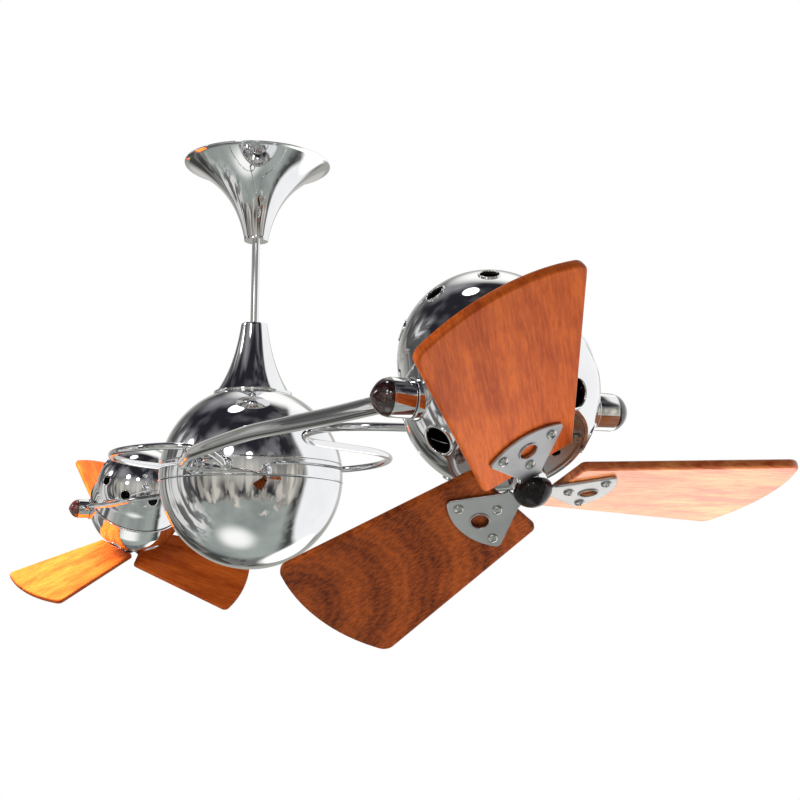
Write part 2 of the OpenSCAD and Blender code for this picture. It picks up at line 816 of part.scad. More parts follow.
module iron_outline() {
    steps = 8;
    arc_n = 10;
    half = iron_half - iron_corner;
    bulge = iron_reach - iron_corner_r - iron_corner;
    rad = (half * half + bulge * bulge) / (2 * bulge);
    sweep = asin(half / rad);
    cx = iron_corner_r;
    side_a = atan2(half - iron_neck + iron_corner, cx - 15);
    side = concat(
        [for (i = [0 : arc_n]) let (a = sweep * i / arc_n)
            [cx + bulge - rad + (rad + iron_corner) * cos(a), (rad + iron_corner) * sin(a)]],
        [for (i = [1 : steps]) let (a = sweep + (90 + side_a - sweep) * i / steps)
            [cx + iron_corner * cos(a), half + iron_corner * sin(a)]],
        [[15.5, iron_neck + 0.8], [13, iron_neck], [4, iron_neck]]);
    polygon(concat(side, [for (i = [len(side) - 1 : -1 : 1]) [side[i][0], -side[i][1]]]));
}

module iron(k, spin) {
    color(chrome) difference() {
        on_blade(k, spin) difference() {
            union() {
                translate([0, 0, blade_t / 2]) linear_extrude(height = iron_t) iron_outline();
                translate([iron_hole_r, 0, blade_t / 2]) cylinder(r = iron_hole_d / 2 + 1, h = iron_t + 0.8);
            }
            translate([iron_hole_r, 0, blade_t / 2 - eps]) cylinder(r = iron_hole_d / 2, h = iron_t + 3);
            iron_screw_place() translate([0, 0, -eps]) cylinder(r = screw_hole_r, h = iron_t + 2 * eps);
        }
        translate([0, 0, hub_s0 - 5]) cylinder(r = hub_r + seat_fit, h = hub_s1 - hub_s0 + 20);
        translate([0, 0, hub_s1 - seat_fit]) cylinder(r = nose_r + seat_fit, h = 20);
    }
}

module blade_screws(spin) {
    color(steel) for (k = [1 : 3])
        on_blade(k, spin) iron_screw_place() translate([0, 0, iron_t])
            pan_screw(screw_head_r, screw_head_h, screw_shank_r, iron_t + screw_l - 0.5);
}

// ---- pieces ----

ceiling_bracket();
canopy();
canopy_screws();
downrod();
hanger_pin();
cone_cover();
top_disc();
upper_shell();
spindle_collar();
spindle_nut();
slip_ring();
arm_ring();
arm_plate();
spindle_bearings();
brush_holder();
lower_shell();
shell_screws();
main_tube(0);  // main_tube_front
main_tube(180);  // main_tube_rear
sweep_rod(0);  // sweep_rod_front
sweep_rod(180);  // sweep_rod_rear
pivot_barrels(0);  // pivot_barrels_front
pivot_barrels(180);  // pivot_barrels_rear
knob_caps(0);  // knob_caps_front
knob_caps(180);  // knob_caps_rear
front_head() rear_dome();  // rear_dome_front
rear_head() rear_dome();  // rear_dome_rear
front_head() front_shell();  // front_shell_front
rear_head() front_shell();  // front_shell_rear
front_head() front_plate();  // front_plate_front
rear_head() front_plate();  // front_plate_rear
front_head() plate_screws();  // plate_screws_front
rear_head() plate_screws();  // plate_screws_rear
front_head() motor_can();  // motor_can_front
rear_head() motor_can();  // motor_can_rear
front_head() motor_bearings();  // motor_bearings_front
rear_head() motor_bearings();  // motor_bearings_rear
front_head() rotor();  // rotor_front
rear_head() rotor();  // rotor_rear
front_head() blade_hub();  // blade_hub_front
rear_head() blade_hub();  // blade_hub_rear
front_head() blade(1, spin_front);  // blade_1_front
front_head() blade(2, spin_front);  // blade_2_front
front_head() blade(3, spin_front);  // blade_3_front
rear_head() blade(1, spin_rear);  // blade_1_rear
rear_head() blade(2, spin_rear);  // blade_2_rear
rear_head() blade(3, spin_rear);  // blade_3_rear
front_head() iron(1, spin_front);  // iron_1_front
front_head() iron(2, spin_front);  // iron_2_front
front_head() iron(3, spin_front);  // iron_3_front
rear_head() iron(1, spin_rear);  // iron_1_rear
rear_head() iron(2, spin_rear);  // iron_2_rear
rear_head() iron(3, spin_rear);  // iron_3_rear
front_head() blade_screws(spin_front);  // blade_screws_front
rear_head() blade_screws(spin_rear);  // blade_screws_rear
front_head() nose_cap();  // nose_cap_front
rear_head() nose_cap();  // nose_cap_rear
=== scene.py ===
"""Looks of a ceiling fan with two tilting heads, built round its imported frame."""

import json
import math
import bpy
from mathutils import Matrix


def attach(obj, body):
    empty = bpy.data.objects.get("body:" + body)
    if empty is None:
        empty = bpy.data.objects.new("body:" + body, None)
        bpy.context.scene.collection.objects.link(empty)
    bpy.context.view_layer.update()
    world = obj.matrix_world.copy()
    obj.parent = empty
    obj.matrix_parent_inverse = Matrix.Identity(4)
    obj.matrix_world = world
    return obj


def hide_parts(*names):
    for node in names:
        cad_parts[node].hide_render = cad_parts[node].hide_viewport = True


bl_info = {
    "name": "Twin head ceiling fan",
    "version": (1, 0, 0),
    "blender": (4, 5, 0),
    "location": "3D View > Sidebar > Fan",
    "description": "Builds the visible pieces of a ceiling fan whose two heads tilt, spin and circle",
    "category": "Object",
}

import bmesh
import bpy
import numpy as np
from bpy.props import FloatProperty, FloatVectorProperty, IntProperty, PointerProperty
from mathutils import Matrix, Vector

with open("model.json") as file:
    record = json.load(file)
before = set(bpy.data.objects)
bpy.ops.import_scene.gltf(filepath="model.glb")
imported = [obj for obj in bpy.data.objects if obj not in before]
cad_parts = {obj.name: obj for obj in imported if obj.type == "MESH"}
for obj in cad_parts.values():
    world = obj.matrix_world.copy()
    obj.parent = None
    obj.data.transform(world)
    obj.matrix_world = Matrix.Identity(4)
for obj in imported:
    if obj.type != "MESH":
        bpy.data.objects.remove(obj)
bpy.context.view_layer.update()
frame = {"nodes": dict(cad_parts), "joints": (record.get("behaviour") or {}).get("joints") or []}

# Shapes are written in millimetres and scaled to the frame's metres when a mesh is made.
MM = 0.001
SIDES = ("front", "rear")

# Steps round a large turned piece
TURNED = 160

# ---- sizes of the fan, in millimetres and radians ----

# _R is a radius, _H a height, _T a thickness, _L a length, _Z a height in the room and _S a place
# along a head's blade axis, from its tilt pivot.

SPHERE_R = 90.0
SPHERE_Z = -320.0
SHELL_WALL = 2.5
ROD_R = 4.0
ROD_HOLE = 4.1
ROD_TAIL = 24.0
SHEET = 1.4
BELT_TOP = 12.0
BELT_BOTTOM = -6.0
SEAM = 0.4
CAP_H = 81.45
CAP_WALL = 3.0
DISC_R = 38.7
DISC_T = 3.0
CONE_H = 69.0
CANOPY_H = 80.0
RIM_R = 73.6
ARM_REACH = 530.0
MAIN_R = 6.0
SWEEP_R = 3.3
SOCKET_R = 85.5
SOCKET_Z = 4.0
MAIN_ANGLE, SWEEP_ANGLE = -52, 148
COLLAR_OUT = 96.2
BARREL_R = 12.2
BARREL_Y = 63.0
BARREL_L = 14.0
BARREL_BORE = 5.05
TRUNNION_R = 5.0
BOSS_R = 13.5
KNOB_L = 12.0
HOUSE_R = 62.0
HOUSE_WALL = 2.0
SEAM_S = -18.0
DOME_R = 58.0
DOME_S = -37.0
BOWL_BACK = 11.3
LIP_S = 34.0
BEAD_S = -16.2
PLATE_S = 32.0
PLATE_R = 41.7
VIEW_RING, VIEW_HOLE = 28.0, 3.0
HUB_R = 10.5
HUB_S = 50.0
SHAFT_HOLE = 4.1
NOSE_S = 65.3
NOSE_R = 11.8
NOSE_H = 11.8
BLADE_S = 60.3
BLADE_T = 6.0
BLADE_PITCH = math.radians(16.8)
SPIN = {"front": math.radians(-29.8), "rear": math.radians(56)}
IRON_T = 2.0
IRON_HOLE = (38.8, 5.3)
SCREW_R = 3.2
SCREW_SPOTS = ((42.0, 16.0), (42.0, -16.0), (25.5, 0.0))
VENT_TURNS = [math.radians(35 + 40 * i) for i in range(9)]
MOUTH_TURNS = [math.radians(36 + 60 * i) for i in range(6)]
VIEW_TURNS = [math.radians(24 + 60 * i) for i in range(6)]
VENT_POLAR = math.radians(64)
MOUTH_POLAR = math.radians(52)
VENT_HOLE, MOUTH_HOLE = 6.4, 9.2


def raised(z):
    """Matrix that raises by z millimetres."""
    return Matrix.Translation((0, 0, z * MM))


def joint(name):
    """The frame's joint of that name."""
    return next(j for j in frame["joints"] if j["name"] == name)


def head_place(side):
    """Matrix of a head's own frame: its origin is the tilt pivot and z runs along the blade axis."""
    tilt, spin = joint("head_tilt_" + side), joint("blade_spin_" + side)
    y, z = Vector(tilt["axis"]).normalized(), Vector(spin["axis"]).normalized()
    turned = Matrix((y.cross(z), y, z)).transposed().to_4x4()
    return Matrix.Translation(Vector(tilt["pos_m"])) @ turned


def arm_place(side):
    """Matrix of an arm's own frame: its origin is the middle of the sphere and x runs to its head."""
    centre = Matrix.Translation(Vector(joint("arm_turn")["pos_m"]))
    return centre @ Matrix.Rotation(math.pi if side == "rear" else 0, 4, "Z")


def blade_place(side, k):
    """Matrix of blade k's own frame: x runs out along the blade and z is its front face's normal."""
    spin = Matrix.Rotation(SPIN[side] + math.radians(120) * (k - 1), 4, "Z")
    return head_place(side) @ spin @ raised(BLADE_S) @ Matrix.Rotation(BLADE_PITCH, 4, "X")


def hole_places(turns, s, polar):
    """Places of round holes in a ball whose middle is at s: z runs out through each hole."""
    middle, tip = raised(s), Matrix.Rotation(polar, 4, "Y")
    return [Matrix.Rotation(angle, 4, "Z") @ middle @ tip for angle in turns]


# ---- user settings ----


class FanSizes(bpy.types.PropertyGroup):
    """Small edges and rims that a user would change."""

    blade_edge: FloatProperty(
        name="Blade edge", description="Radius of the rounded blade edges, in mm",
        default=2.0, min=0.5, max=2.9)
    iron_edge: FloatProperty(
        name="Iron edge", description="Radius of the rounded iron edges, in mm",
        default=0.7, min=0.1, max=0.9)
    vent_rim: FloatProperty(
        name="Vent rim", description="Thickness of the rolled rim round each vent, in mm",
        default=1.3, min=0.4, max=2)
    mouth_rim: FloatProperty(
        name="Mouth rim", description="Thickness of the rolled rim round each mouth, in mm",
        default=2.0, min=0.6, max=3)
    tube_sides: IntProperty(
        name="Tube sides", description="Sides of the arm tubes", default=32, min=12, max=64)


class FanFinishes(bpy.types.PropertyGroup):
    """Colours and polish of the fan's finishes."""

    chrome: FloatVectorProperty(
        name="Chrome", description="Colour of the polished plating",
        subtype="COLOR", default=(0.84, 0.845, 0.86))
    satin: FloatVectorProperty(
        name="Satin plate", description="Colour of the satin blade irons",
        subtype="COLOR", default=(0.50, 0.495, 0.505))
    wood_light: FloatVectorProperty(
        name="Wood, light", description="Pale bands of the blade wood",
        subtype="COLOR", default=(0.66, 0.135, 0.018))
    wood_dark: FloatVectorProperty(
        name="Wood, dark", description="Dark bands of the blade wood",
        subtype="COLOR", default=(0.31, 0.041, 0.005))
    knob: FloatVectorProperty(
        name="Knob wood", description="Colour of the turned pivot knobs",
        subtype="COLOR", default=(0.020, 0.004, 0.0035))
    nose: FloatVectorProperty(
        name="Nose wood", description="Colour of the turned nose caps",
        subtype="COLOR", default=(0.006, 0.004, 0.0045))
    polish: FloatProperty(
        name="Polish", description="Roughness of the polished chrome",
        default=0.03, min=0, max=0.3, subtype="FACTOR")


class StageSettings(bpy.types.PropertyGroup):
    """Light and camera of the stage."""

    lens: FloatProperty(
        name="Lens", description="Focal length in mm", default=59.08, min=20, max=200, unit="CAMERA")
    key: FloatProperty(
        name="Key", description="Power of the low front lamp, in watts",
        default=6, min=0, max=500, unit="POWER")
    rear: FloatProperty(
        name="Rear", description="Power of the lamp above the rear head, in watts",
        default=5.4, min=0, max=50, unit="POWER")
    left: FloatProperty(
        name="Left", description="Power of the lamp to the left, in watts",
        default=9, min=0, max=500, unit="POWER")
    low: FloatProperty(
        name="Low", description="Power of the panel under the right blade, in watts",
        default=1.5, min=0, max=50, unit="POWER")


def settings():
    """The scene's sizes, finishes and stage settings."""
    scene = bpy.context.scene
    return scene.fan_sizes, scene.fan_finishes, scene.fan_stage


# ---- shader expressions ----


class Field:
    """An output socket that takes part in Python expressions, each of which adds its node."""

    def __init__(self, shader, socket):
        self.shader = shader
        self.socket = socket

    def math(self, operation, *others):
        return self.shader.add("ShaderNodeMath", {"operation": operation}, self, *others)

    def __add__(self, other):
        return self.math("ADD", other)

    __radd__ = __add__

    def __mul__(self, other):
        return self.math("MULTIPLY", other)

    __rmul__ = __mul__

    def __sub__(self, other):
        return self.math("SUBTRACT", other)

    def __rsub__(self, other):
        return self.shader.add("ShaderNodeMath", {"operation": "SUBTRACT"}, other, self)

    def between(self, low, high, to_low=0.0, to_high=1.0):
        """Eased from to_low at low to to_high at high."""
        return self.shader.add(
            "ShaderNodeMapRange", {"interpolation_type": "SMOOTHSTEP"}, self, low, high, to_low, to_high)

    def dot(self, direction):
        return self.shader.add(
            "ShaderNodeVectorMath", {"operation": "DOT_PRODUCT"}, self, tuple(direction), out="Value")


class Shader:
    """A node tree, of a new material or of the world, that expressions add to."""

    def __init__(self, tree):
        self.tree = tree
        tree.nodes.clear()

    def add(self, kind, choices=None, *values, out=0, **named):
        """Adds a node: its settings first, then the values or links of its sockets, and gives its output."""
        node = self.tree.nodes.new(kind)
        for key, value in (choices or {}).items():
            setattr(node, key, value)
        sockets = list(enumerate(values)) + [(name.replace("_", " "), value) for name, value in named.items()]
        for key, value in sockets:
            if isinstance(value, Field):
                self.tree.links.new(value.socket, node.inputs[key])
            elif value is not None:
                node.inputs[key].default_value = value
        return Field(self, node.outputs[out]) if len(node.outputs) else None

    def mix(self, share, first, second):
        """A colour between two colours. The node's sockets between share and first are of other types."""
        colours = [c if isinstance(c, Field) else (*c, 1.0) for c in (first, second)]
        return self.add("ShaderNodeMix", {"data_type": "RGBA"}, share, *[None] * 5, *colours, out=2)

    def place(self, scale, move=(0, 0, 0)):
        """The piece's own coordinates, scaled and moved."""
        own = self.add("ShaderNodeTexCoord", out="Object")
        return self.add("ShaderNodeMapping", {}, own, Location=move, Scale=scale)

    def noise(self, place, scale, detail=3.0, rough=0.55, bend=0.0):
        return self.add(
            "ShaderNodeTexNoise", {}, Vector=place, Scale=scale, Detail=detail, Roughness=rough,
            Distortion=bend)

    def bump(self, height, strength, distance):
        return self.add(
            "ShaderNodeBump", {}, Height=height, Strength=strength, Distance=distance, out="Normal")


# Materials made so far, by name
FINISHES = {}


def finish(name, paint):
    """The material of that name, made once by paint, which returns the values of its main shader."""
    if name in FINISHES:
        return FINISHES[name]
    made = FINISHES[name] = bpy.data.materials.new(name)
    made.use_nodes = True
    shader = Shader(made.node_tree)
    main = shader.add("ShaderNodeBsdfPrincipled", {}, **paint(shader))
    shader.add("ShaderNodeOutputMaterial", {}, Surface=main)
    return made


def tint(colour, share):
    """The colour, lightened or darkened by a share."""
    return tuple(min(1.0, c * share) for c in colour)


def mottled(name, colours, rough, scale, detail=3, stretch=(1, 1, 1), span=(0.3, 0.7), metal=1.0):
    """A finish whose colour and roughness drift with one noise."""

    def paint(s):
        drift = s.noise(s.place(stretch), scale, detail)
        base = s.mix(drift.between(*span), *colours)
        return {"Base_Color": base, "Metallic": metal, "Roughness": drift.between(0.3, 0.7, *rough)}

    return finish(name, paint)


def chrome():
    """Polished plating with faint smudges."""
    colour, polish = settings()[1].chrome, settings()[1].polish

    def paint(s):
        smudge = s.noise(s.place((1, 1, 1)), 38, 5, 0.6)
        base = s.mix(smudge.between(0.35, 0.7), tint(colour, 0.95), tuple(colour))
        rough = smudge.between(0.45, 0.8, polish, polish + 0.05)
        return {"Base_Color": base, "Metallic": 1.0, "Roughness": rough}

    return finish("polished_chrome", paint)


def satin_plate():
    """Satin plating of the blade irons, brushed along the iron."""
    colour = settings()[1].satin

    def paint(s):
        brushed = s.noise(s.place((60, 900, 300)), 1.0, 3, 0.6)
        cloud = s.noise(s.place((1, 1, 1)), 60, 3)
        base = s.mix(cloud.between(0.3, 0.7), tint(colour, 0.88), tuple(colour))
        return {"Base_Color": base, "Metallic": 1.0, "Roughness": brushed.between(0.3, 0.7, 0.30, 0.34)}

    return finish("satin_plate", paint)


def bright_steel():
    """Bright zinc plating of screws and small steel pieces."""
    return mottled("bright_steel", ((0.55, 0.55, 0.54), (0.72, 0.73, 0.72)), (0.12, 0.24), 400)


def machined_steel():
    """Turned steel of the hidden carriers, with fine marks round their axis."""
    colours = ((0.30, 0.30, 0.31), (0.42, 0.42, 0.43))
    return mottled("machined_steel", colours, (0.3, 0.42), 1.0, stretch=(200, 200, 1500))


def motor_black_and_painted_shade():
    """Matt black of the motor can, and painted shade on the head shells' insides and on their hole walls."""
    colours = ((0.006, 0.006, 0.007), (0.014, 0.013, 0.014))
    return mottled("motor_black_and_painted_shade", colours, (0.6, 0.75), 700, span=(0.35, 0.65), metal=0.0)


def slip_copper():
    """Copper alloy of the slip ring, worn round its tracks."""
    colours = ((0.55, 0.27, 0.14), (0.74, 0.40, 0.22))
    return mottled("slip_copper", colours, (0.18, 0.34), 1.0, 4, (100, 100, 1200))


def moulded_black():
    """Moulded insulation of the brush holder."""

    def paint(s):
        grain = s.noise(s.place((1, 1, 1)), 1500, 2)
        base = s.mix(grain.between(0.3, 0.7), (0.012, 0.012, 0.012), (0.022, 0.022, 0.022))
        return {"Base_Color": base, "Roughness": 0.5, "Normal": s.bump(grain, 0.15, 0.0001)}

    return finish("moulded_black", paint)


# Pale colour mixed into one blade's wood as painted light, and the shift, in metres, that brings the middle
# of the veneer's arches, which lies beyond the blade's tip, to the origin of the rings.
PAINTED_LIGHT_PALE = Vector((1.0, 0.85, 0.32))
RING_SHIFT = (-0.185, 0.028, 0.0)


def blade_wood(name, light, dark, figure, gloss, shift):
    """Lacquered veneer along x: long streaks, arched rings, blotches, fine fibre and short dark pores."""

    def paint(s):
        streak = s.noise(s.place((7, 62, 40), move=shift), 1.0, 3, 0.55, 0.5)
        blotch = s.noise(s.place((24, 60, 30), move=shift), 1.0, 4, 0.65)
        fibre = s.noise(s.place((40 + 200 * figure, 700, 300), move=shift), 1.0, 3, 0.6)
        fleck = s.noise(s.place((110, 1700, 600), move=shift), 1.0, 2, 0.6)
        broad, fine = [
            s.add(
                "ShaderNodeTexWave", {"wave_type": "RINGS", "rings_direction": "Z", "wave_profile": "SIN"},
                Vector=s.place((1.0, 1.35, 1), move=RING_SHIFT), Scale=scale, Distortion=bend, Detail=2.0,
                Detail_Scale=1.4, Detail_Roughness=0.55)
            for scale, bend in ((8.5, 3.5), (37.0, 4.0))]
        plain = 1.0 - figure
        tone = streak.between(0.38, 0.62) * plain * 0.30 + broad * figure * 0.34 + fine * figure * 0.14
        tone = tone + blotch.between(0.38, 0.62) * (plain * 0.26 + 0.10) + fibre.between(0.38, 0.62) * 0.32
        base = s.mix(tone, dark, light)
        pores = fleck.between(0.56, 0.70)
        base = s.mix(pores * 0.3, base, tint(dark, 0.6))
        rough = fibre.between(0.3, 0.7, 0.34, 0.42) + pores * 0.1
        return {
            "Base_Color": base, "Roughness": rough, "Specular_IOR_Level": 0.12, "Coat_Weight": gloss,
            "Coat_Roughness": 0.2, "Normal": s.bump(fibre * 0.4 - pores, 0.10, 0.0003)}

    return finish(name, paint)


def turned_wood(name, colour, shine):
    """Gloss lacquered turned wood with faint grain. shine is the lacquer's index of refraction."""

    def paint(s):
        grain = s.noise(s.place((120, 120, 500)), 1.0, 4, 0.6, 0.6)
        base = s.mix(grain.between(0.35, 0.7), tint(colour, 0.3), tint(colour, 1.5))
        rough = grain.between(0.3, 0.7, 0.25, 0.35)
        return {
            "Base_Color": base, "Roughness": rough, "Specular_IOR_Level": 0.1, "Coat_Weight": 1.0,
            "Coat_Roughness": 0.03, "Coat_IOR": shine}

    return finish(name, paint)


# ---- mesh helpers ----


def arc(x, y, r, start, end, count):
    """Points on a round stretch, its angles in degrees."""
    angles = [math.radians(start + (end - start) * i / count) for i in range(count + 1)]
    return [(x + r * math.cos(a), y + r * math.sin(a)) for a in angles]


def rounded(points, r, count=5):
    """The closed outline with each corner rounded to r, less where an edge is short."""
    out = []
    for i, (x, y) in enumerate(points):
        here = Vector((x, y))
        before, after = Vector(points[i - 1]) - here, Vector(points[(i + 1) % len(points)]) - here
        reach = min(r, before.length * 0.45, after.length * 0.45)
        a, b = here + before.normalized() * reach, here + after.normalized() * reach
        for k in range(count + 1):
            t = k / count
            p = a * (1 - t) ** 2 + here * 2 * t * (1 - t) + b * t**2
            out.append((p.x, p.y))
    return out


def flare(neck, width, decay, height, count):
    """Points of a trumpet curve from its wide end, at height 0, to its neck."""
    return [
        (neck + width * math.exp(-height * i / count / decay), height * i / count) for i in range(count + 1)]


def turn(bm, profile, place=Matrix(), steps=TURNED, dark_from=None, closed=True):
    """Adds the profile of (radius, height) points turned round z.

    Its spans from dark_from on take the second finish.
    """
    rings = []
    for r, z in profile:
        count = 1 if r < 1e-6 else steps
        angles = [2 * math.pi * i / steps for i in range(count)]
        points = [Vector((r * math.cos(a), r * math.sin(a), z)) * MM for a in angles]
        rings.append([bm.verts.new(place @ p) for p in points])
    spans = list(zip(rings, rings[1:]))
    if closed:
        spans.append((rings[-1], rings[0]))
    for index, (a, b) in enumerate(spans):
        for i in range(steps):
            j = (i + 1) % steps
            corners = [a[i % len(a)], a[j % len(a)], b[j % len(b)], b[i % len(b)]]
            corners = list(dict.fromkeys(corners))
            if len(corners) > 2:
                face = bm.faces.new(corners)
                face.smooth = True
                face.material_index = 1 if dark_from is not None and index >= dark_from else 0


def torus(bm, ring_r, wire_r, place, ring_steps=40, wire_steps=12):
    """Adds a round wire bent to a ring about z."""
    turn(bm, arc(ring_r, 0, wire_r, 0, 360 * (1 - 1 / wire_steps), wire_steps - 1), place, ring_steps)


def as_mesh(bm, name, sharp=32):
    """The finished mesh, shaded smooth but for edges sharper than that many degrees."""
    bmesh.ops.recalc_face_normals(bm, faces=bm.faces)
    mesh = bpy.data.meshes.new(name)
    bm.to_mesh(mesh)
    bm.free()
    for face in mesh.polygons:
        face.use_smooth = True
    mesh.set_sharp_from_angle(angle=math.radians(sharp))
    return mesh


def show(mesh, name, place, body, finishes, replaces=()):
    """Puts a mesh into the scene as a piece that rides on a body."""
    for material in finishes:
        if material.name not in mesh.materials:
            mesh.materials.append(material)
    piece = bpy.data.objects.new(name, mesh)
    bpy.context.scene.collection.objects.link(piece)
    piece.matrix_world = place
    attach(piece, body)
    if replaces:
        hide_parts(*replaces)
    return piece


def turned_piece(name, profile, place, body, slot, finishes, replaces=(), **options):
    """A piece that is one profile turned round its own z."""
    bm = bmesh.new()
    turn(bm, profile, **options)
    return show(as_mesh(bm, name), name, place, body, finishes, replaces)


def dress(node, material):
    """Gives a frame node that keeps its own shape a finish."""
    slots = frame["nodes"][node].data.materials
    slots.clear()
    slots.append(material)


def profile_normals(profile):
    """Each profile point's outward normal in the (radius, height) plane, averaged from its two spans."""
    p = np.array(profile)
    span = np.diff(p, axis=0)
    span /= np.linalg.norm(span, axis=1)[:, None]
    side = np.stack([span[:, 1], -span[:, 0]], axis=1)
    both = np.vstack([side[:1], side[:-1] + side[1:], side[-1:]])
    return both / np.linalg.norm(both, axis=1)[:, None]


def curve_normals(mesh, profiles):
    """Gives faces on a turned surface that surface's normals, so that holes leave its reflections whole."""
    corners = np.zeros(len(mesh.loops), int)
    mesh.loops.foreach_get("vertex_index", corners)
    points = np.array([v.co for v in mesh.vertices], float)[corners] / MM
    facing = np.zeros((len(mesh.loops), 3))
    for face in mesh.polygons:
        facing[face.loop_start : face.loop_start + face.loop_total] = face.normal
    normals = np.array([tuple(c.vector) for c in mesh.corner_normals], float)
    radius = np.hypot(points[:, 0], points[:, 1])
    flat = np.stack([radius, points[:, 2]], axis=1)
    away = points[:, :2] / np.maximum(radius, 1e-6)[:, None]
    for profile in profiles:
        p, bent = np.array(profile), profile_normals(profile)
        start, span = p[:-1], np.diff(p, axis=0)
        share = np.einsum("lsk,sk->ls", flat[:, None] - start, span) / np.einsum("sk,sk->s", span, span)
        share = np.clip(share, 0, 1)
        gap = np.linalg.norm(flat[:, None] - start - share[..., None] * span, axis=2)
        best = gap.argmin(axis=1)
        rows = np.arange(len(flat))
        t = share[rows, best][:, None]
        n2 = bent[best] * (1 - t) + bent[best + 1] * t
        n3 = np.column_stack([away * n2[:, :1], n2[:, 1]])
        n3 /= np.linalg.norm(n3, axis=1)[:, None]
        match = np.einsum("lk,lk->l", n3, facing)
        use = (gap[rows, best] < 0.05) & (np.abs(match) > 0.93)
        normals[use] = n3[use] * np.sign(match[use])[:, None]
    mesh.normals_split_custom_set([tuple(n) for n in normals])


def carved(mesh, tool, meets_itself=False):
    """The mesh less the tool's mesh, which may be of parts that meet."""
    body = bpy.data.objects.new("blank", mesh)
    cutter = bpy.data.objects.new("cutter", tool)
    for piece in (body, cutter):
        bpy.context.scene.collection.objects.link(piece)
    cut = body.modifiers.new("cut", "BOOLEAN")
    cut.object = cutter
    cut.operation = "DIFFERENCE"
    cut.solver = "EXACT"
    cut.use_self = meets_itself
    ready = body.evaluated_get(bpy.context.evaluated_depsgraph_get())
    result = bpy.data.meshes.new_from_object(ready)
    bpy.data.objects.remove(body)
    bpy.data.objects.remove(cutter)
    return result


def drilled(mesh, holes, radius, length, dark=False):
    """The mesh with round holes of that radius cut along the z of each place, with bright walls, or with dark
    walls that are painted shade.
    """
    bm = bmesh.new()
    for place in holes:
        half = length / 2
        turn(bm, [(0, -half), (radius, -half), (radius, half), (0, half)], place, 48, closed=False)
    for face in bm.faces:
        face.material_index = int(dark)
    return carved(mesh, as_mesh(bm, "drills"))


def smooth_route(points, per_span):
    """Catmull-Rom points through the chosen ones."""
    held = [points[0], *points, points[-1]]
    out = []
    for a, b, c, d in zip(held, held[1:], held[2:], held[3:]):
        for i in range(per_span):
            t = i / per_span
            bow, twist = 2 * a - 5 * b + 4 * c - d, 3 * b - a - 3 * c + d
            out.append(0.5 * (2 * b + (c - a) * t + bow * t**2 + twist * t**3))
    return out + [points[-1]]


def tube(bm, route, r, sides):
    """Adds a round bar of radius r along the route."""
    rings = []
    for i, point in enumerate(route):
        ahead = (route[min(i + 1, len(route) - 1)] - route[max(i - 1, 0)]).normalized()
        side = ahead.cross(Vector((0, 0, 1))).normalized()
        top = side.cross(ahead)
        angles = [2 * math.pi * k / sides for k in range(sides)]
        ring = [point + r * (math.cos(a) * side + math.sin(a) * top) for a in angles]
        rings.append([bm.verts.new(p * MM) for p in ring])
    for a, b in zip(rings, rings[1:]):
        for k in range(sides):
            j = (k + 1) % sides
            bm.faces.new((a[k], a[j], b[j], b[k]))
    bm.faces.new(rings[0][::-1])
    bm.faces.new(rings[-1])


def slab(bm, outline, bottom, top, edge, hole=None, steps=5):
    """Adds a flat plate of that counter-clockwise outline, its rims rounded to edge, with a hole or none."""

    def rim(points, inward):
        ring = [Vector(p) for p in points]
        count = len(ring)
        out = []
        for i, p in enumerate(ring):
            along = (ring[(i + 1) % count] - ring[i - 1]).normalized()
            out.append((p, Vector((-along.y, along.x)) * inward))
        turns = [math.radians(90 * k / steps) for k in range(steps + 1)]
        insets = [edge * (1 - math.cos(a)) for a in turns]
        drops = [edge * (1 - math.sin(a)) for a in turns]
        levels = [(edge + 0.15, bottom)] + [(i, bottom + d) for i, d in zip(insets[::-1], drops[::-1])]
        levels += [(i, top - d) for i, d in zip(insets, drops)] + [(edge + 0.15, top)]
        return [[bm.verts.new(Vector((*(p + n * inset), z)) * MM) for p, n in out] for inset, z in levels]

    def wall(rings):
        for a, b in zip(rings, rings[1:]):
            for i in range(len(a)):
                j = (i + 1) % len(a)
                bm.faces.new((a[i], a[j], b[j], b[i]))

    outer = rim(outline, 1)
    wall(outer)
    if not hole:
        bm.faces.new(outer[0][::-1])
        bm.faces.new(outer[-1])
        return
    inner = rim(hole, -1)
    wall(inner)
    for level in (0, -1):
        edges = []
        for ring in (outer[level], inner[level]):
            edges += [bm.edges.get((ring[i - 1], ring[i])) for i in range(len(ring))]
        bmesh.ops.triangle_fill(bm, use_beauty=True, edges=edges)


# ---- profiles, in millimetres ----


def ball_arc(r, low, high, count):
    """Points on the ball's section between two heights."""
    return arc(0, 0, r, math.degrees(math.asin(low / r)), math.degrees(math.asin(high / r)), count)


def knob_profile(r, h):
    """Acorn of turned wood: full shoulders and a drawn tip, flat on z = 0."""
    shape = ((1.0, 0.0), (1.0, 0.07), (0.975, 0.2), (0.90, 0.38), (0.77, 0.55), (0.60, 0.70), (0.42, 0.82),
             (0.26, 0.905), (0.13, 0.965), (0.0, 1.0))
    points = [Vector((r * a, h * b)) for a, b in shape]
    return [(0.0, 0.0), (r - 0.4, 0.0)] + [(max(p.x, 0.0), p.y) for p in smooth_route(points, 5)]


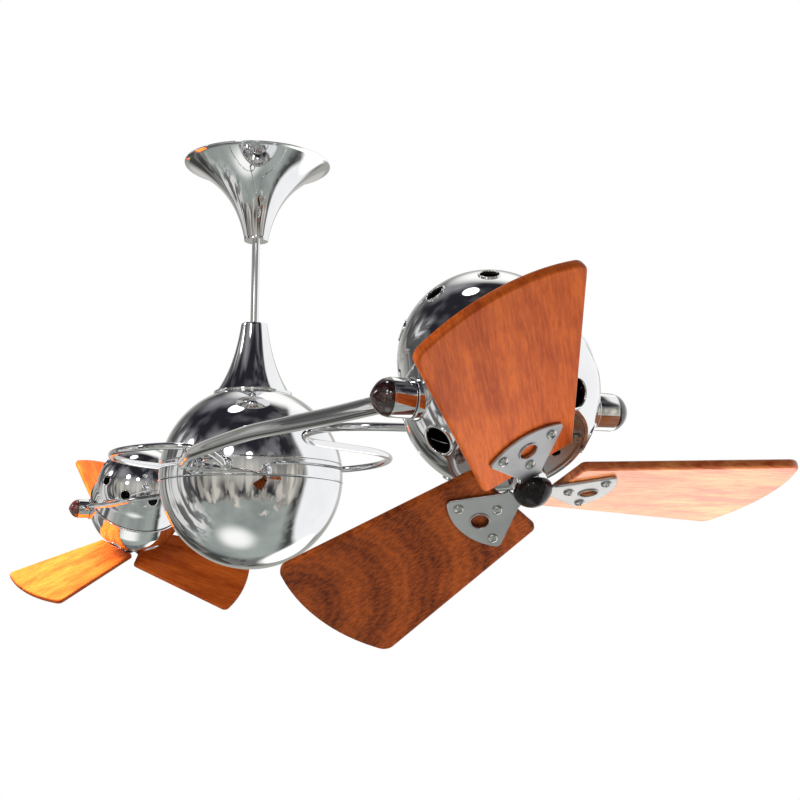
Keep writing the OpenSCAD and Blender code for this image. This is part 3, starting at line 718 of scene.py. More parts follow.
def blade_outline():
    """Fan-shaped outline of a blade, counter-clockwise from the middle of its tip."""
    root_r, root_half, root_corner = 18.9, 30.8, 4.0
    tip_r, tip_half, tip_corner, bulge = 159.0, 50.3, 8.0, 12.0
    crown = (tip_half**2 + bulge**2) / (2 * bulge)
    lean = math.degrees(math.atan((tip_half - root_half) / (tip_r - root_r)))
    swing = crown - tip_corner
    top = math.degrees(math.asin((tip_half - tip_corner) / swing))
    cx = tip_r + bulge - crown
    corner = (cx + swing * math.cos(math.radians(top)), swing * math.sin(math.radians(top)))
    side = arc(cx, 0, crown, 0, top, 24)
    side += arc(*corner, tip_corner, top, 90 + lean, 12)[1:]
    side += arc(root_r + root_corner, root_half - root_corner, root_corner, 90 + lean, 180, 10)
    return side + [(x, -y) for x, y in side[:0:-1]]


def iron_outline():
    """Outline of a blade iron: a rounded triangle on the blade and a neck to the hub."""
    corner, neck, reach, corner_x, half = 3.5, 7.0, 53.0, 43.0, 20.5
    bulge = reach - corner_x - corner
    crown = (half**2 + bulge**2) / (2 * bulge)
    sweep = math.degrees(math.asin(half / crown))
    side_a = math.degrees(math.atan2(half - neck + corner, corner_x - 15))
    side = arc(corner_x + bulge - crown, 0, crown + corner, 0, sweep, 14)
    side += arc(corner_x, half, corner, sweep, 90 + side_a, 12)[1:]
    side += [(15.5, neck + 0.8), (13.0, neck), (HUB_R + 0.2, neck)]
    return side + [(x, -y) for x, y in side[:0:-1]]


# ---- operators, one for each group of pieces ----


class FAN_OT_ceiling_cover(bpy.types.Operator):
    """Build the flared canopy and the ceiling rod, and finish the canopy's screws"""

    bl_idname = "fan.ceiling_cover"
    bl_label = "Ceiling cover and rod"

    def execute(self, context):
        body = "ceiling_fixture"
        outer = [(r, -h) for r, h in flare(5, 68.6, 34.4, CANOPY_H, 90)][2:]
        rim = [(RIM_R - 3, 0.0)] + arc(RIM_R - 0.6, -0.8, 0.8, 90, -70, 8)
        neck = rounded([(12.2, -76.6), (12.2, -80.6), (ROD_HOLE, -80.6), (ROD_HOLE, -77)], 0.7)
        inner = [(r - SHEET, z) for r, z in reversed(outer[:-5])]
        profile = rim + outer[:-3] + neck[:-6] + [(ROD_HOLE, -77.0)]
        bm = bmesh.new()
        turn(bm, profile + inner, dark_from=len(profile))
        skins = [chrome(), machined_steel()]
        show(as_mesh(bm, "canopy_spun"), "canopy_spun", Matrix(), body, skins, ["canopy"])
        low = SPHERE_Z - ROD_TAIL
        rod = rounded([(0, low), (ROD_R, low), (ROD_R, -3), (0, -3)], 0.4)
        rod = [p for p in rod if p[0] > 0]
        turned_piece("rod_drawn", rod, Matrix(), body, "chrome", [chrome()], ["downrod"], steps=64)
        dress("canopy_screws", bright_steel())
        return {"FINISHED"}


class FAN_OT_cone_and_disc(bpy.types.Operator):
    """Build the flared cone and the disc that sit on the sphere"""

    bl_idname = "fan.cone_and_disc"
    bl_label = "Cone and disc"

    def execute(self, context):
        body = "ceiling_fixture"
        base = raised(SPHERE_Z + CAP_H + DISC_T)
        outer = flare(7, 29, 44, CONE_H, 60)
        top = outer[-1][0]
        crown = arc(top - 1.2, CONE_H - 0.6, 1.2, 0, 90, 5) + [(ROD_R + 2.2, CONE_H + 0.6)]
        crown += arc(ROD_R + 1.2, CONE_H + 1.2, 1.0, -30, 120, 6)
        crown += [(ROD_HOLE, CONE_H + 1.8), (ROD_HOLE, CONE_H - 3)]
        inner = [(r - SHEET, h) for r, h in reversed(outer[:-3])]
        profile = outer[:-1] + crown
        turned_piece("cone_spun", profile + inner, base, body, "chrome", [chrome(), machined_steel()],
                     ["cone_cover"], dark_from=len(profile))
        disc = rounded([(ROD_HOLE, 0), (DISC_R, 0), (DISC_R, DISC_T), (ROD_HOLE, DISC_T)], 0.9)
        turned_piece("disc_turned", disc, raised(SPHERE_Z + CAP_H), body, "chrome", [chrome()], ["top_disc"])
        return {"FINISHED"}


class FAN_OT_sphere(bpy.types.Operator):
    """Build the sphere: the fixed upper shell, and the belt and lower shell that turn"""

    bl_idname = "fan.sphere"
    bl_label = "Sphere"

    def execute(self, context):
        centre = raised(SPHERE_Z)
        skins = [chrome(), machined_steel()]
        inner = SPHERE_R - SHELL_WALL
        low, flat = BELT_TOP + SEAM, CAP_H - CAP_WALL
        out = [(SPHERE_R - 1.4, low)] + ball_arc(SPHERE_R, low + 0.5, CAP_H, 60)
        out += [(ROD_HOLE, CAP_H), (ROD_HOLE, flat)]
        inside = ball_arc(inner, flat, low, 40)
        turned_piece("upper_shell_spun", out + inside, centre, "ceiling_fixture", "chrome", skins,
                     ["upper_shell"], dark_from=len(out))
        high = BELT_BOTTOM - 0.15
        out = [(0.0, -SPHERE_R)] + ball_arc(SPHERE_R, 0.1 - SPHERE_R, high - 0.5, 70)
        out += [(SPHERE_R - 0.7, high)]
        inside = ball_arc(inner, high, 0.1 - inner, 40) + [(0.0, -inner)]
        turned_piece("lower_shell_spun", out + inside, centre, "turning_arms", "chrome", skins,
                     ["lower_shell"], dark_from=len(out), closed=False)
        self.belt(centre)
        return {"FINISHED"}

    def belt(self, centre):
        """The belt with a bead along each rim and a rounded collar at each arm socket."""
        bm = bmesh.new()
        lip, bead, bead_in, inner = 0.5, 0.7, 0.9, 84.0
        low, high = (math.degrees(math.asin(z / SPHERE_R)) for z in (BELT_BOTTOM + lip, BELT_TOP - lip))
        face = [(SPHERE_R - 1.0, BELT_BOTTOM)] + arc(0, 0, SPHERE_R, low, high, 12)
        face += [(SPHERE_R - 1.3, BELT_TOP), (inner, BELT_TOP), (inner, BELT_BOTTOM)]
        turn(bm, face)
        for z in (BELT_BOTTOM + bead_in, BELT_TOP - bead_in):
            torus(bm, math.sqrt(SPHERE_R**2 - z**2) - 0.2, bead, raised(z), 128)
        for angle, r, wall in ((MAIN_ANGLE, MAIN_R, 1.8), (SWEEP_ANGLE, SWEEP_R, 1.6)):
            collar = self.collar(r, wall)
            for half in (0, 180):
                aim = Matrix.Rotation(math.radians(angle + half), 4, "Z") @ raised(SOCKET_Z)
                turn(bm, collar, aim @ Matrix.Rotation(math.pi / 2, 4, "Y"), 48)
        mesh = as_mesh(bm, "belt_turned")
        show(mesh, "belt_turned", centre, "turning_arms", [chrome()], ["arm_ring"])

    def collar(self, r, wall):
        """Profile of a socket's collar: a fillet to the belt, and a rounded mouth round the tube."""
        bore, foot = r + 0.05, r + wall + 1.6
        start, end = SOCKET_R + 1, COLLAR_OUT
        profile = [(bore, start), (foot, start), (foot, 90.0)]
        profile += arc(foot, 91.8, 1.6, -90, -180, 5)[1:]
        return profile + arc(r + wall - 0.8, end - 0.8, 0.8, 0, 90, 5) + [(bore, end)]


def polar(r, angle, z):
    """Point at an angle, in degrees, round the vertical axis."""
    return Vector((r * math.cos(math.radians(angle)), r * math.sin(math.radians(angle)), z))


# Points along each arm tube, in an arm's own frame: from its pivot to its socket in the belt
MAIN_ROUTE = [Vector(p) for p in (
    (522.4, -70, 0), (516.4, -70, 0), (508.4, -70, 0), (486, -73, 0), (428.8, -79, 1), (362.8, -86, 3),
    (301.2, -91, 5), (239.6, -94, 5.5), (186.8, -96, 5.2), (138.4, -95.5, 4.8), (107.6, -91, 4.4))]
MAIN_ROUTE += [polar(r, MAIN_ANGLE, SOCKET_Z) for r in (107, 101, 95, SOCKET_R)]

SWEEP_ROUTE = [Vector(p) for p in (
    (522.4, 70, 0), (516.4, 70, 0), (508.4, 70, 0), (481.6, 68, 0), (455.2, 59, 0), (428.8, 49, 0.5),
    (398, 36, 3), (369.4, 14, 6), (345.2, -5, 8.5), (318.8, -17, 11), (283.6, -22, 14), (235.2, -20, 17),
    (191.2, -11, 19), (151.6, 10, 19))]
SWEEP_ROUTE += [polar(r, a, z) for r, a, z in (
    (136.5, 20, 19), (136, 42, 19), (136, 66, 19), (134.5, 90, 18.5), (131.5, 112, 18), (122, 130, 18),
    (111, 141, 14), (103, 146.5, 7.6))]
SWEEP_ROUTE += [polar(r, SWEEP_ANGLE, SOCKET_Z) for r in (99, 97, 93, SOCKET_R)]


class FAN_OT_arm_tubes(bpy.types.Operator):
    """Build the bent main tube and the sweeping rod of each arm"""

    bl_idname = "fan.arm_tubes"
    bl_label = "Arm tubes"

    def execute(self, context):
        sides = settings()[0].tube_sides
        for name, route, r, node in (
                ("main_bend", MAIN_ROUTE, MAIN_R, "main_tube_"),
                ("sweep_bend", SWEEP_ROUTE, SWEEP_R, "sweep_rod_")):
            for side in SIDES:
                bm = bmesh.new()
                tube(bm, smooth_route(route, 10), r, sides)
                mesh, place = as_mesh(bm, name), arm_place(side)
                show(mesh, f"{name}_{side}", place, "turning_arms", [chrome()], [node + side])
        return {"FINISHED"}


class FAN_OT_pivots(bpy.types.Operator):
    """Build the pivot barrels and their turned knobs"""

    bl_idname = "fan.pivots"
    bl_label = "Pivot barrels and knobs"

    def execute(self, context):
        wood = turned_wood("knob_lacquer", settings()[1].knob, 1.9)
        end = BARREL_Y + BARREL_L
        barrel = rounded(
            [(BARREL_BORE, BARREL_Y), (BARREL_R, BARREL_Y), (BARREL_R, end), (BARREL_BORE, end)], 0.8)
        ring_in, ring_out = BARREL_R - 2.4, BARREL_R - 0.05
        ring = rounded([(ring_in, -1.2), (ring_out, -1.2), (ring_out, 0.5), (ring_in, 0.5)], 0.4, 3)
        for side in SIDES:
            metal, knobs = bmesh.new(), bmesh.new()
            for way in (-1, 1):
                aim = Matrix.Translation((ARM_REACH * MM, 0, 0)) @ Matrix.Rotation(-math.pi / 2 * way, 4, "X")
                turn(metal, barrel, aim, 96)
                seat = aim @ raised(end)
                turn(knobs, knob_profile(BARREL_R - 0.35, KNOB_L), seat, 96, closed=False)
                turn(metal, ring, seat, 96)
            for mesh, name, slot, skin, node in (
                    (as_mesh(metal, "barrels"), "barrels_turned_", "chrome", chrome(), "pivot_barrels_"),
                    (as_mesh(knobs, "knobs"), "knobs_turned_", "knob_wood", wood, "knob_caps_")):
                show(mesh, name + side, arm_place(side), "turning_arms", [skin], [node + side])
        return {"FINISHED"}


class FAN_OT_rear_domes(bpy.types.Operator):
    """Build the domed back of each head with its rimmed vents"""

    bl_idname = "fan.rear_domes"
    bl_label = "Rear domes"

    def execute(self, context):
        slope = (HOUSE_R - 1 - DOME_R) / (SEAM_S - DOME_S)
        outside = [(0.0, DOME_S - DOME_R)] + arc(0, DOME_S, DOME_R, -88.5, 0, 60)
        outside += [(DOME_R + slope * k, DOME_S + k) for k in (4, 9, 14, SEAM_S - DOME_S)]
        inner_r = DOME_R - HOUSE_WALL
        inside = [(inner_r + slope * (SEAM_S - DOME_S), SEAM_S)] + arc(0, DOME_S, inner_r, 0, -88.5, 40)
        inside += [(0.0, DOME_S - inner_r)]
        bm = bmesh.new()
        # The dome's inside and its vent walls take the black finish, which is painted shade.
        turn(bm, outside + inside, dark_from=len(outside), closed=False)
        holes = hole_places(VENT_TURNS, DOME_S, math.pi - VENT_POLAR)
        bores = [h @ raised(DOME_R) for h in holes]
        mesh = drilled(as_mesh(bm, "dome"), bores, VENT_HOLE, 24, True)
        curve_normals(mesh, [outside[::-1]])
        rims = bmesh.new()
        wire = settings()[0].vent_rim / 2
        for h in holes:
            seat = math.sqrt(DOME_R**2 - VENT_HOLE**2) + wire * 0.3
            torus(rims, VENT_HOLE + wire * 0.4, wire, h @ raised(seat))
        rim_mesh = as_mesh(rims, "vent_rims")
        for side in SIDES:
            body, place = "head_" + side, head_place(side)
            # The second finish is painted shade on the dome's inside and vent walls.
            skins = [chrome(), motor_black_and_painted_shade()]
            show(mesh, "dome_spun_" + side, place, body, skins, ["rear_dome_" + side])
            show(rim_mesh, "vent_rims_" + side, place, body, [chrome()])
        return {"FINISHED"}


class FAN_OT_front_shells(bpy.types.Operator):
    """Build the bowl-shaped front of each head: mouths, bead, bosses and front plate"""

    bl_idname = "fan.front_shells"
    bl_label = "Front shells"

    def execute(self, context):
        ball = math.hypot(HOUSE_R, BOWL_BACK)
        inner = HOUSE_R - HOUSE_WALL
        inner_ball = math.hypot(inner, BOWL_BACK)
        start = math.degrees(math.asin(BOWL_BACK / ball))
        lip = math.degrees(math.asin((LIP_S + BOWL_BACK) / ball)) - 0.6
        outside = [(HOUSE_R, SEAM_S), (HOUSE_R, SEAM_S / 2)] + arc(0, -BOWL_BACK, ball, start, lip, 48)
        edge_r = outside[-1][0]
        roll = [(edge_r - 0.5, LIP_S), (PLATE_R + 0.1, LIP_S), (PLATE_R + 0.1, PLATE_S - 1)]
        deep_start = math.degrees(math.asin((PLATE_S - 1 + BOWL_BACK) / inner_ball))
        deep_end = math.degrees(math.asin(BOWL_BACK / inner_ball))
        inside = arc(0, -BOWL_BACK, inner_ball, deep_start, deep_end, 30) + [(inner, SEAM_S)]
        bm = bmesh.new()
        # The bowl's inside and its mouth walls take the black finish, which is painted shade.
        turn(bm, outside + roll + inside, dark_from=len(outside) + len(roll))
        holes = hole_places(MOUTH_TURNS, -BOWL_BACK, MOUTH_POLAR)
        bores = [h @ raised(HOUSE_R) for h in holes]
        mesh = drilled(as_mesh(bm, "bowl"), bores, MOUTH_HOLE, 20, True)
        curve_normals(mesh, [outside[::-1]])
        trim = self.trim(holes, ball)
        plate = self.plate()
        for side in SIDES:
            body, place = "head_" + side, head_place(side)
            # The second finish is painted shade on the bowl's inside and mouth walls.
            skins = [chrome(), motor_black_and_painted_shade()]
            show(mesh, "bowl_spun_" + side, place, body, skins, ["front_shell_" + side])
            show(trim, "bowl_trim_" + side, place, body, [chrome()])
            skins = [satin_plate()]
            show(plate, "plate_turned_" + side, place, body, skins, ["front_plate_" + side])
            dress("plate_screws_" + side, bright_steel())
        return {"FINISHED"}

    def trim(self, holes, ball):
        """Rolled bead, mouth rims, bosses and trunnions."""
        bm = bmesh.new()
        turn(bm, arc(HOUSE_R - 0.8, BEAD_S, 1.6, 0, 330, 11))
        wire = settings()[0].mouth_rim / 2
        for h in holes:
            seat = math.sqrt(ball**2 - MOUTH_HOLE**2) + wire * 0.1
            torus(bm, MOUTH_HOLE + wire * 0.35, wire, h @ raised(seat), 56)
        low, high, core = HOUSE_R - 9, 62.7, 0.6
        boss = rounded([(0, low), (BOSS_R, low), (BOSS_R, high), (0, high)], 0.6)
        for way in (-1, 1):
            aim = Matrix.Rotation(-math.pi / 2 * way, 4, "X")
            turn(bm, [p for p in boss if p[0] > 0.5], aim, 72)
            turn(bm, [(core, 62), (TRUNNION_R, 62), (TRUNNION_R, 71), (core, 71)], aim, 48)
        return as_mesh(bm, "bowl_trim")

    def plate(self):
        """Front plate with a raised rim, a stepped boss and rolled view holes."""
        bm = bmesh.new()
        steps = ((5.0, 0), (5.0, 2.2), (13.0, 2.2), (14.4, 1.4), (20.0, 1.4), (38.6, 1.4), (39.8, 2.0),
                 (PLATE_R, 2.0), (PLATE_R, 0))
        turn(bm, rounded([(r, PLATE_S + rise) for r, rise in steps], 0.5, 3))
        out = Matrix.Translation((VIEW_RING * MM, 0, (PLATE_S + 1) * MM))
        places = [Matrix.Rotation(angle, 4, "Z") @ out for angle in VIEW_TURNS]
        mesh = drilled(as_mesh(bm, "plate"), places, VIEW_HOLE, 6)
        rims = bmesh.new()
        rims.from_mesh(mesh)
        for place in places:
            torus(rims, VIEW_HOLE + 0.3, 0.6, place @ raised(0.5), 28, 10)
        return as_mesh(rims, "plate_with_rims")


class FAN_OT_blades(bpy.types.Operator):
    """Build the six lacquered wooden blades"""

    bl_idname = "fan.blades"
    bl_label = "Blades"

    def execute(self, context):
        edge = settings()[0].blade_edge
        light, dark = (Vector(c) for c in (settings()[1].wood_light, settings()[1].wood_dark))
        # The blades share one wood, tinted apart: the figured copy is darkened as painted shade, and the
        # glossy copy is paled toward a pale colour as painted light.
        woods = [
            blade_wood("blade_wood_" + name, *look) for name, *look in (
                ("figured", tint(light, 0.47), tint(dark, 0.15), 0.95, 0.04, (0.0, 0.013, 0.0)),
                ("glossy", light * 0.8 + PAINTED_LIGHT_PALE * 0.2, dark, 0.0, 1.0, (3.1, 0.7, 0.2)),
                ("straight", tint(light, 0.82), tint(dark, 0.82), 0.1, 0.06, (7.3, 1.9, 0.4)))]
        for side in SIDES:
            for k in (1, 2, 3):
                bm = bmesh.new()
                slab(bm, blade_outline(), -BLADE_T / 2, BLADE_T / 2, edge, steps=6)
                name = f"blade_{k}_carved_{side}"
                wood = woods[k - 1] if side == "front" else woods[2]
                mesh, body = as_mesh(bm, name, sharp=60), "blades_" + side
                show(mesh, name, blade_place(side, k), body, [wood], [f"blade_{k}_{side}"])
        return {"FINISHED"}


class FAN_OT_irons(bpy.types.Operator):
    """Build the blade irons with their raised holes and cross-head screws"""

    bl_idname = "fan.irons"
    bl_label = "Blade irons and screws"

    def execute(self, context):
        bm = bmesh.new()
        bottom = BLADE_T / 2
        centre, hole_r = IRON_HOLE
        hole = arc(centre, 0, hole_r, 0, 360 * 35 / 36, 35)
        slab(bm, iron_outline(), bottom, bottom + IRON_T, settings()[0].iron_edge, hole)
        lip = Matrix.Translation((centre * MM, 0, (bottom + IRON_T) * MM))
        bead = [(hole_r, -1.0)] + arc(hole_r + 0.55, 0.25, 0.55, 180, 0, 8) + [(hole_r + 1.1, -0.1)]
        turn(bm, bead, lip, 48)
        iron = as_mesh(bm, "iron")
        screw = self.screw()
        for side in SIDES:
            body = "blades_" + side
            for k in (1, 2, 3):
                name, node = f"iron_{k}_pressed_{side}", f"iron_{k}_{side}"
                show(iron, name, blade_place(side, k), body, [satin_plate()], [node])
            bm = bmesh.new()
            for k in (1, 2, 3):
                for index, (x, y) in enumerate(SCREW_SPOTS):
                    seat = Matrix.Translation((x * MM, y * MM, (bottom + IRON_T) * MM))
                    spot = blade_place(side, k) @ seat @ Matrix.Rotation(0.5 * k + 0.8 * index, 4, "Z")
                    copy = screw.copy()
                    copy.transform(head_place(side).inverted() @ spot)
                    bm.from_mesh(copy)
            name, node = "blade_screws_domed_" + side, "blade_screws_" + side
            show(as_mesh(bm, "screws"), name, head_place(side), body, [bright_steel()], [node])
        return {"FINISHED"}

    def screw(self):
        """One domed screw with a cross recess."""
        bm = bmesh.new()
        bends = [math.radians(a) for a in range(9, 91, 9)]
        dome = [(0.0, 2.0)] + [(SCREW_R * math.sin(a), 0.5 + 1.5 * math.cos(a)) for a in bends]
        shank = [(SCREW_R, 0.0), (1.5, 0.0), (1.5, -4.0), (0.0, -4.0)]
        turn(bm, dome + shank, steps=40, closed=False)
        mesh = as_mesh(bm, "screw_blank")
        cross = bmesh.new()
        slot = Matrix.Diagonal((3.6 * MM, 0.9 * MM, 1.8 * MM, 1))
        for quarter in (0, 90):
            place = Matrix.Rotation(math.radians(quarter), 4, "Z") @ raised(1.6)
            bmesh.ops.create_cube(cross, size=1, matrix=place @ slot)
        return carved(mesh, as_mesh(cross, "cross"), True)


class FAN_OT_noses(bpy.types.Operator):
    """Build the nose caps and finish the hubs and shafts"""

    bl_idname = "fan.noses"
    bl_label = "Nose caps and hubs"

    def execute(self, context):
        wood = turned_wood("nose_lacquer", settings()[1].nose, 1.3)
        hub = rounded([(SHAFT_HOLE, HUB_S), (HUB_R, HUB_S), (HUB_R, NOSE_S), (SHAFT_HOLE, NOSE_S)], 0.8)
        cap = knob_profile(NOSE_R, NOSE_H)
        for side in SIDES:
            place, body = head_place(side), "blades_" + side
            name, node = "nose_turned_" + side, "nose_cap_" + side
            turned_piece(name, cap, place @ raised(NOSE_S), body, "nose_wood", [wood], [node],
                         closed=False, steps=96)
            name, node = "hub_turned_" + side, "blade_hub_" + side
            turned_piece(name, hub, place, body, "steel", [chrome()], [node], steps=72)
            dress("rotor_" + side, machined_steel())
        return {"FINISHED"}


class FAN_OT_inner_works(bpy.types.Operator):
    """Finish the pieces inside the canopy, the sphere and the heads"""

    bl_idname = "fan.inner_works"
    bl_label = "Inner works"

    def execute(self, context):
        plain = ["ceiling_bracket", "hanger_pin", "spindle_collar", "spindle_nut", "arm_plate",
                 "spindle_bearings", "shell_screws", "motor_bearings_front", "motor_bearings_rear"]
        for node in plain:
            dress(node, machined_steel())
        dress("slip_ring", slip_copper())
        dress("brush_holder", moulded_black())
        for side in SIDES:
            dress("motor_can_" + side, motor_black_and_painted_shade())
        return {"FINISHED"}


# ---- stage ----

CAMERA_PLACE = Vector((1.2419, -0.3772, -0.4403))
CAMERA_AIM = Vector((-0.9073, 0.3920, 0.1517))
CAMERA_ROLL = math.radians(0.228)
SENSOR_WIDTH = 36
FLOOR_Z = -2.4

# Directions in the studio, as shares of its fixed (right, up, back) axes, and, of a lamp that the
# chrome shows, the cosine of its half width.
LAMPS = (
    ((-0.23, 0.97, -0.02), 0.990),
    ((-0.36, 0.46, 0.81), 0.993),
    ((-0.40, 0.21, 0.88), 0.996),
    ((0.06, 0.37, 0.92), 0.996),
    ((-0.86, 0.46, 0.05), 0.995),
)
FLOOR_GLOW = (-0.21, -0.97, 0.05)
FLOOR_STREAK = (-0.80, -0.59, 0.10)
LOW_SCREEN = (0.27, -0.62, -0.74)
REAR_SKY = (0.10, 0.80, -0.58)

# Point above the rear head that its lamp stands towards, in metres along the same axes
REAR_LAMP = (-0.42, -0.10, -0.34)

# Tones of the studio, the pairs from dark to pale
CEILING = ((0.022, 0.021, 0.028), (0.30, 0.295, 0.31))
HORIZON = ((0.035, 0.034, 0.038), (0.74, 0.70, 0.62))
GROUND = ((0.27, 0.30, 0.28), (0.40, 0.44, 0.41))
STRIPS = ((0.12, 0.12, 0.12), (0.85, 0.85, 0.83))
EDGE = ((0.04, 0.041, 0.04), (0.17, 0.17, 0.16))
HAZE = (0.62, 0.60, 0.55)
GLOW_TONE = (1.15, 1.15, 1.1)
STREAK_TONE = (0.75, 0.77, 0.75)
LOW_RIM, HIGH_RIM = (0.42, 0.415, 0.38), (0.60, 0.59, 0.56)
WHITE_WALL = (1.05, 1.05, 1.05)
SKY_TONE = (1.2, 1.2, 1.15)
SCREEN_TONE = (1.9, 1.88, 1.8)
LAMP_TONE = (7.0, 7.0, 7.0)


def studio_axes():
    """The studio's right, up and back, set square to the room."""
    back = -Vector((CAMERA_AIM.x, CAMERA_AIM.y, 0)).normalized()
    up = Vector((0, 0, 1))
    return up.cross(back), up, back


def studio_direction(shares):
    """A room direction from its (right, up, back) shares."""
    right, up, back = studio_axes()
    return (right * shares[0] + up * shares[1] + back * shares[2]).normalized()


class FAN_OT_stage(bpy.types.Operator):
    """Set the studio: camera, lamps, floor and the room that the chrome reflects"""

    bl_idname = "fan.stage"
    bl_label = "Stage"

    def execute(self, context):
        self.camera(context.scene)
        self.room(context.scene)
        self.lamps(context.scene)
        self.floor(context.scene)
        context.scene.view_settings.view_transform = "Standard"
        return {"FINISHED"}

    def camera(self, scene):
        """The camera at the photograph's viewing angle."""
        data = bpy.data.cameras.new("camera")
        data.lens = settings()[2].lens
        data.sensor_width = SENSOR_WIDTH
        camera = bpy.data.objects.new("camera", data)
        scene.collection.objects.link(camera)
        camera.location = CAMERA_PLACE
        aim = CAMERA_AIM.to_track_quat("-Z", "Y").to_matrix().to_4x4()
        camera.rotation_euler = (aim @ Matrix.Rotation(CAMERA_ROLL, 4, "Z")).to_euler()
        scene.camera = camera

    def room(self, scene):
        """White for the camera, and a studio that lights the fan and shows in its chrome."""
        world = bpy.data.worlds.new("studio")
        world.use_nodes = True
        scene.world = world
        s = Shader(world.node_tree)
        way = s.add("ShaderNodeTexCoord", out="Generated")
        right, up, back = (way.dot(axis) for axis in studio_axes())
        colour = self.walls(s, way, right, up, back)
        seen = s.add("ShaderNodeLightPath", out="Is Camera Ray")
        final = s.mix(seen, colour, (1.0, 1.0, 1.0))
        light = s.add("ShaderNodeBackground", {}, Color=final, Strength=1.0)
        s.add("ShaderNodeOutputWorld", {}, Surface=light)

    def walls(self, s, way, right, up, back):
        """Dark ceiling with lamps, a busy horizon, a grey-green floor and a white wall to the right."""

        def seen_at(scale, size, detail):
            spot = s.add("ShaderNodeMapping", {}, way, Scale=scale)
            return s.noise(spot, size, detail, 0.5)

        def toward(shares, low, high):
            return way.dot(studio_direction(shares)).between(low, high)

        cloud = seen_at((1, 1, 1), 1.7, 2)
        narrow_cloud = seen_at((1, 1, 0.4), 4.0, 2).between(0.42, 0.6)
        smoke = cloud.between(0.42, 0.68) + right.between(0.15, 0.55, 0.0, 0.6) * narrow_cloud
        ceiling = s.mix(smoke, *CEILING)
        broad = seen_at((1, 1, 0.25), 2.6, 2).between(0.40, 0.62)
        narrow = seen_at((1, 1, 0.08), 8.0, 2).between(0.44, 0.58)
        horizon = s.mix(broad * 0.55 + narrow * 0.45, *HORIZON)
        haze = up.between(-0.30, 0.0, 0.0, 0.65) * back.between(0.55, 0.95)
        horizon = s.mix(haze, horizon, HAZE)
        floor = s.mix(cloud.between(0.3, 0.7), *GROUND)
        glow = toward(FLOOR_GLOW, 0.88, 1.0)
        floor = s.mix(glow * glow * glow, floor, GLOW_TONE)
        floor = s.mix(toward(FLOOR_STREAK, 0.985, 0.997), floor, STREAK_TONE)
        colour = s.mix(up.between(0.15, 0.45), horizon, ceiling)
        foot = up + broad * 0.22 + narrow * 0.12
        colour = s.mix(foot.between(-0.48, -0.40, 1.0, 0.0), colour, floor)
        strips = s.mix(narrow, *STRIPS)
        left = right.between(-0.8, -0.5, 1.0, 0.0) * back.between(0.1, 0.45, 1.0, 0.0)
        colour = s.mix(left * up.between(0.40, 0.65, 0.85, 0.0), colour, strips)
        level = (1 - up * up).math("SQRT")
        wall = right - back * 0.5 + up * up * level * up.between(-0.2, 0.2, 0.37, 0.82)
        rim = (wall - 0.10).math("MAXIMUM", back * -1)
        low_half = up.between(-0.25, 0.0, 1.0, 0.0)
        ring = rim.between(0.50, 0.68)
        edge_tone = s.mix(narrow, *EDGE)
        colour = s.mix(ring * (low_half * 0.4 + 0.5), colour, edge_tone)
        colour = s.mix(rim.between(0.84, 0.93) * low_half, colour, LOW_RIM)
        colour = s.mix(rim.between(0.72, 0.95) * (1 - low_half), colour, HIGH_RIM)
        colour = s.mix((wall + low_half * 0.03).between(0.84, 0.93), colour, WHITE_WALL)
        colour = s.mix(toward(REAR_SKY, 0.90, 0.99), colour, SKY_TONE)
        colour = s.mix(toward(LOW_SCREEN, 0.95, 0.99), colour, SCREEN_TONE)
        for shares, low in LAMPS:
            glow = toward(shares, low, 0.3 * low + 0.7)
            colour = s.mix(glow * glow, colour, LAMP_TONE)
        return colour

    def lamps(self, scene):
        """Four soft disks, each aimed at a point of the fan from some way off."""
        stage = settings()[2]
        right, up, back = studio_axes()
        head = head_place("front").translation
        mid_blade = Vector((0.1, 0, 0))
        rear_left, low_right = blade_place("rear", 1) @ mid_blade, blade_place("front", 2) @ mid_blade
        over_rear = right * REAR_LAMP[0] + up * REAR_LAMP[1] + back * REAR_LAMP[2]
        for name, aim, away, far, size, power in (
                ("key", head, studio_direction((0.1, -0.8, 0.6)), 1.5, 1.4, stage.key),
                ("rear", rear_left, (over_rear - rear_left).normalized(), 0.25, 0.15, stage.rear),
                ("left", head, studio_direction((-0.95, 0.12, 0.28)), 1.0, 0.6, stage.left),
                ("low", low_right, studio_direction((0.35, -0.9, -0.1)), 0.27, 0.25, stage.low)):
            data = bpy.data.lights.new(name, "AREA")
            data.shape, data.size, data.energy = "DISK", size, power
            lamp = bpy.data.objects.new(name, data)
            scene.collection.objects.link(lamp)
            lamp.location = aim + away * far
            lamp.rotation_euler = away.to_track_quat("Z", "Y").to_euler()
            lamp.visible_glossy = False
            lamp.visible_camera = False

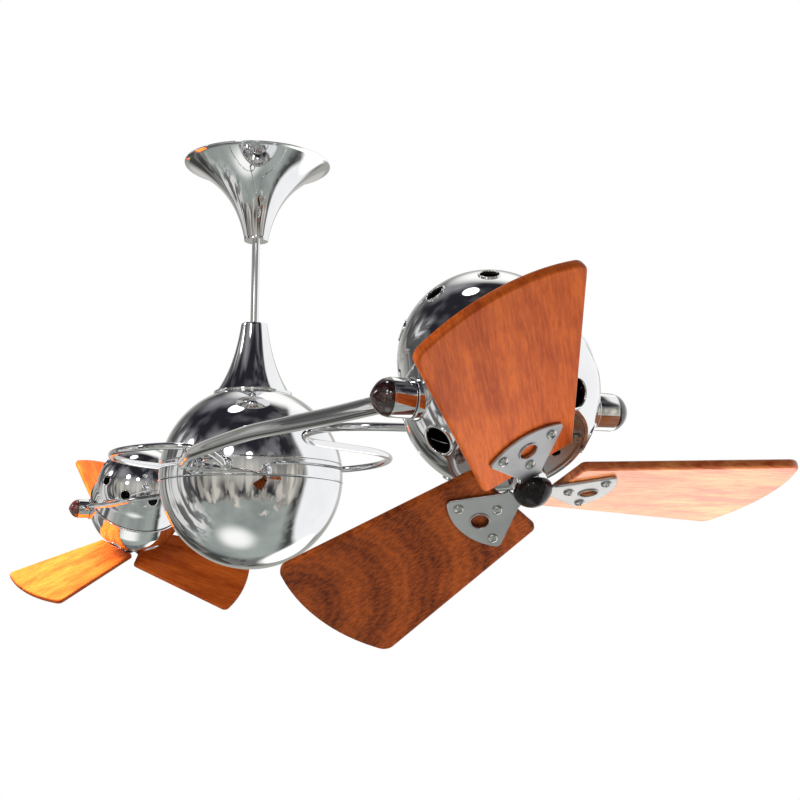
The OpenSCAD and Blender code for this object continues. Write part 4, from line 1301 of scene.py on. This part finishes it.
    def floor(self, scene):
        """Plain pale floor, far below the fan."""
        bm = bmesh.new()
        bmesh.ops.create_grid(bm, x_segments=2, y_segments=2, size=5)
        mesh = bpy.data.meshes.new("floor")
        bm.to_mesh(mesh)
        bm.free()
        floor = bpy.data.objects.new("floor", mesh)
        floor.location = (0, 0, FLOOR_Z)
        scene.collection.objects.link(floor)

        def paint(s):
            cloud = s.noise(s.place((1, 1, 1)), 3, 3)
            base = s.mix(cloud.between(0.3, 0.7), (0.86, 0.86, 0.86), (0.9, 0.9, 0.9))
            return {"Base_Color": base, "Roughness": 0.9}

        mesh.materials.append(finish("pale_floor", paint))
        floor.visible_glossy = False


class FAN_PT_sidebar(bpy.types.Panel):
    """Lists the fan's operators and settings"""

    bl_idname = "FAN_PT_sidebar"
    bl_label = "Twin head fan"
    bl_space_type = "VIEW_3D"
    bl_region_type = "UI"
    bl_category = "Fan"

    def draw(self, context):
        for group in settings():
            for name in group.__annotations__:
                self.layout.prop(group, name)
        for operator in BUILD_ORDER:
            self.layout.operator(operator.bl_idname)


BUILD_ORDER = (
    FAN_OT_stage, FAN_OT_ceiling_cover, FAN_OT_cone_and_disc, FAN_OT_sphere, FAN_OT_arm_tubes,
    FAN_OT_pivots, FAN_OT_rear_domes, FAN_OT_front_shells, FAN_OT_blades, FAN_OT_irons, FAN_OT_noses,
    FAN_OT_inner_works)
GROUPS = {"fan_sizes": FanSizes, "fan_finishes": FanFinishes, "fan_stage": StageSettings}


def register():
    for name, group in GROUPS.items():
        bpy.utils.register_class(group)
        setattr(bpy.types.Scene, name, PointerProperty(type=group))
    for item in (*BUILD_ORDER, FAN_PT_sidebar):
        bpy.utils.register_class(item)


def unregister():
    for item in (FAN_PT_sidebar, *reversed(BUILD_ORDER)):
        bpy.utils.unregister_class(item)
    for name, group in GROUPS.items():
        delattr(bpy.types.Scene, name)
        bpy.utils.unregister_class(group)


def main():
    """Registers the add-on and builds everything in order."""
    register()
    for operator in BUILD_ORDER:
        group, name = operator.bl_idname.split(".")
        getattr(getattr(bpy.ops, group), name)()
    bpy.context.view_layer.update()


if __name__ == "__main__":
    main()
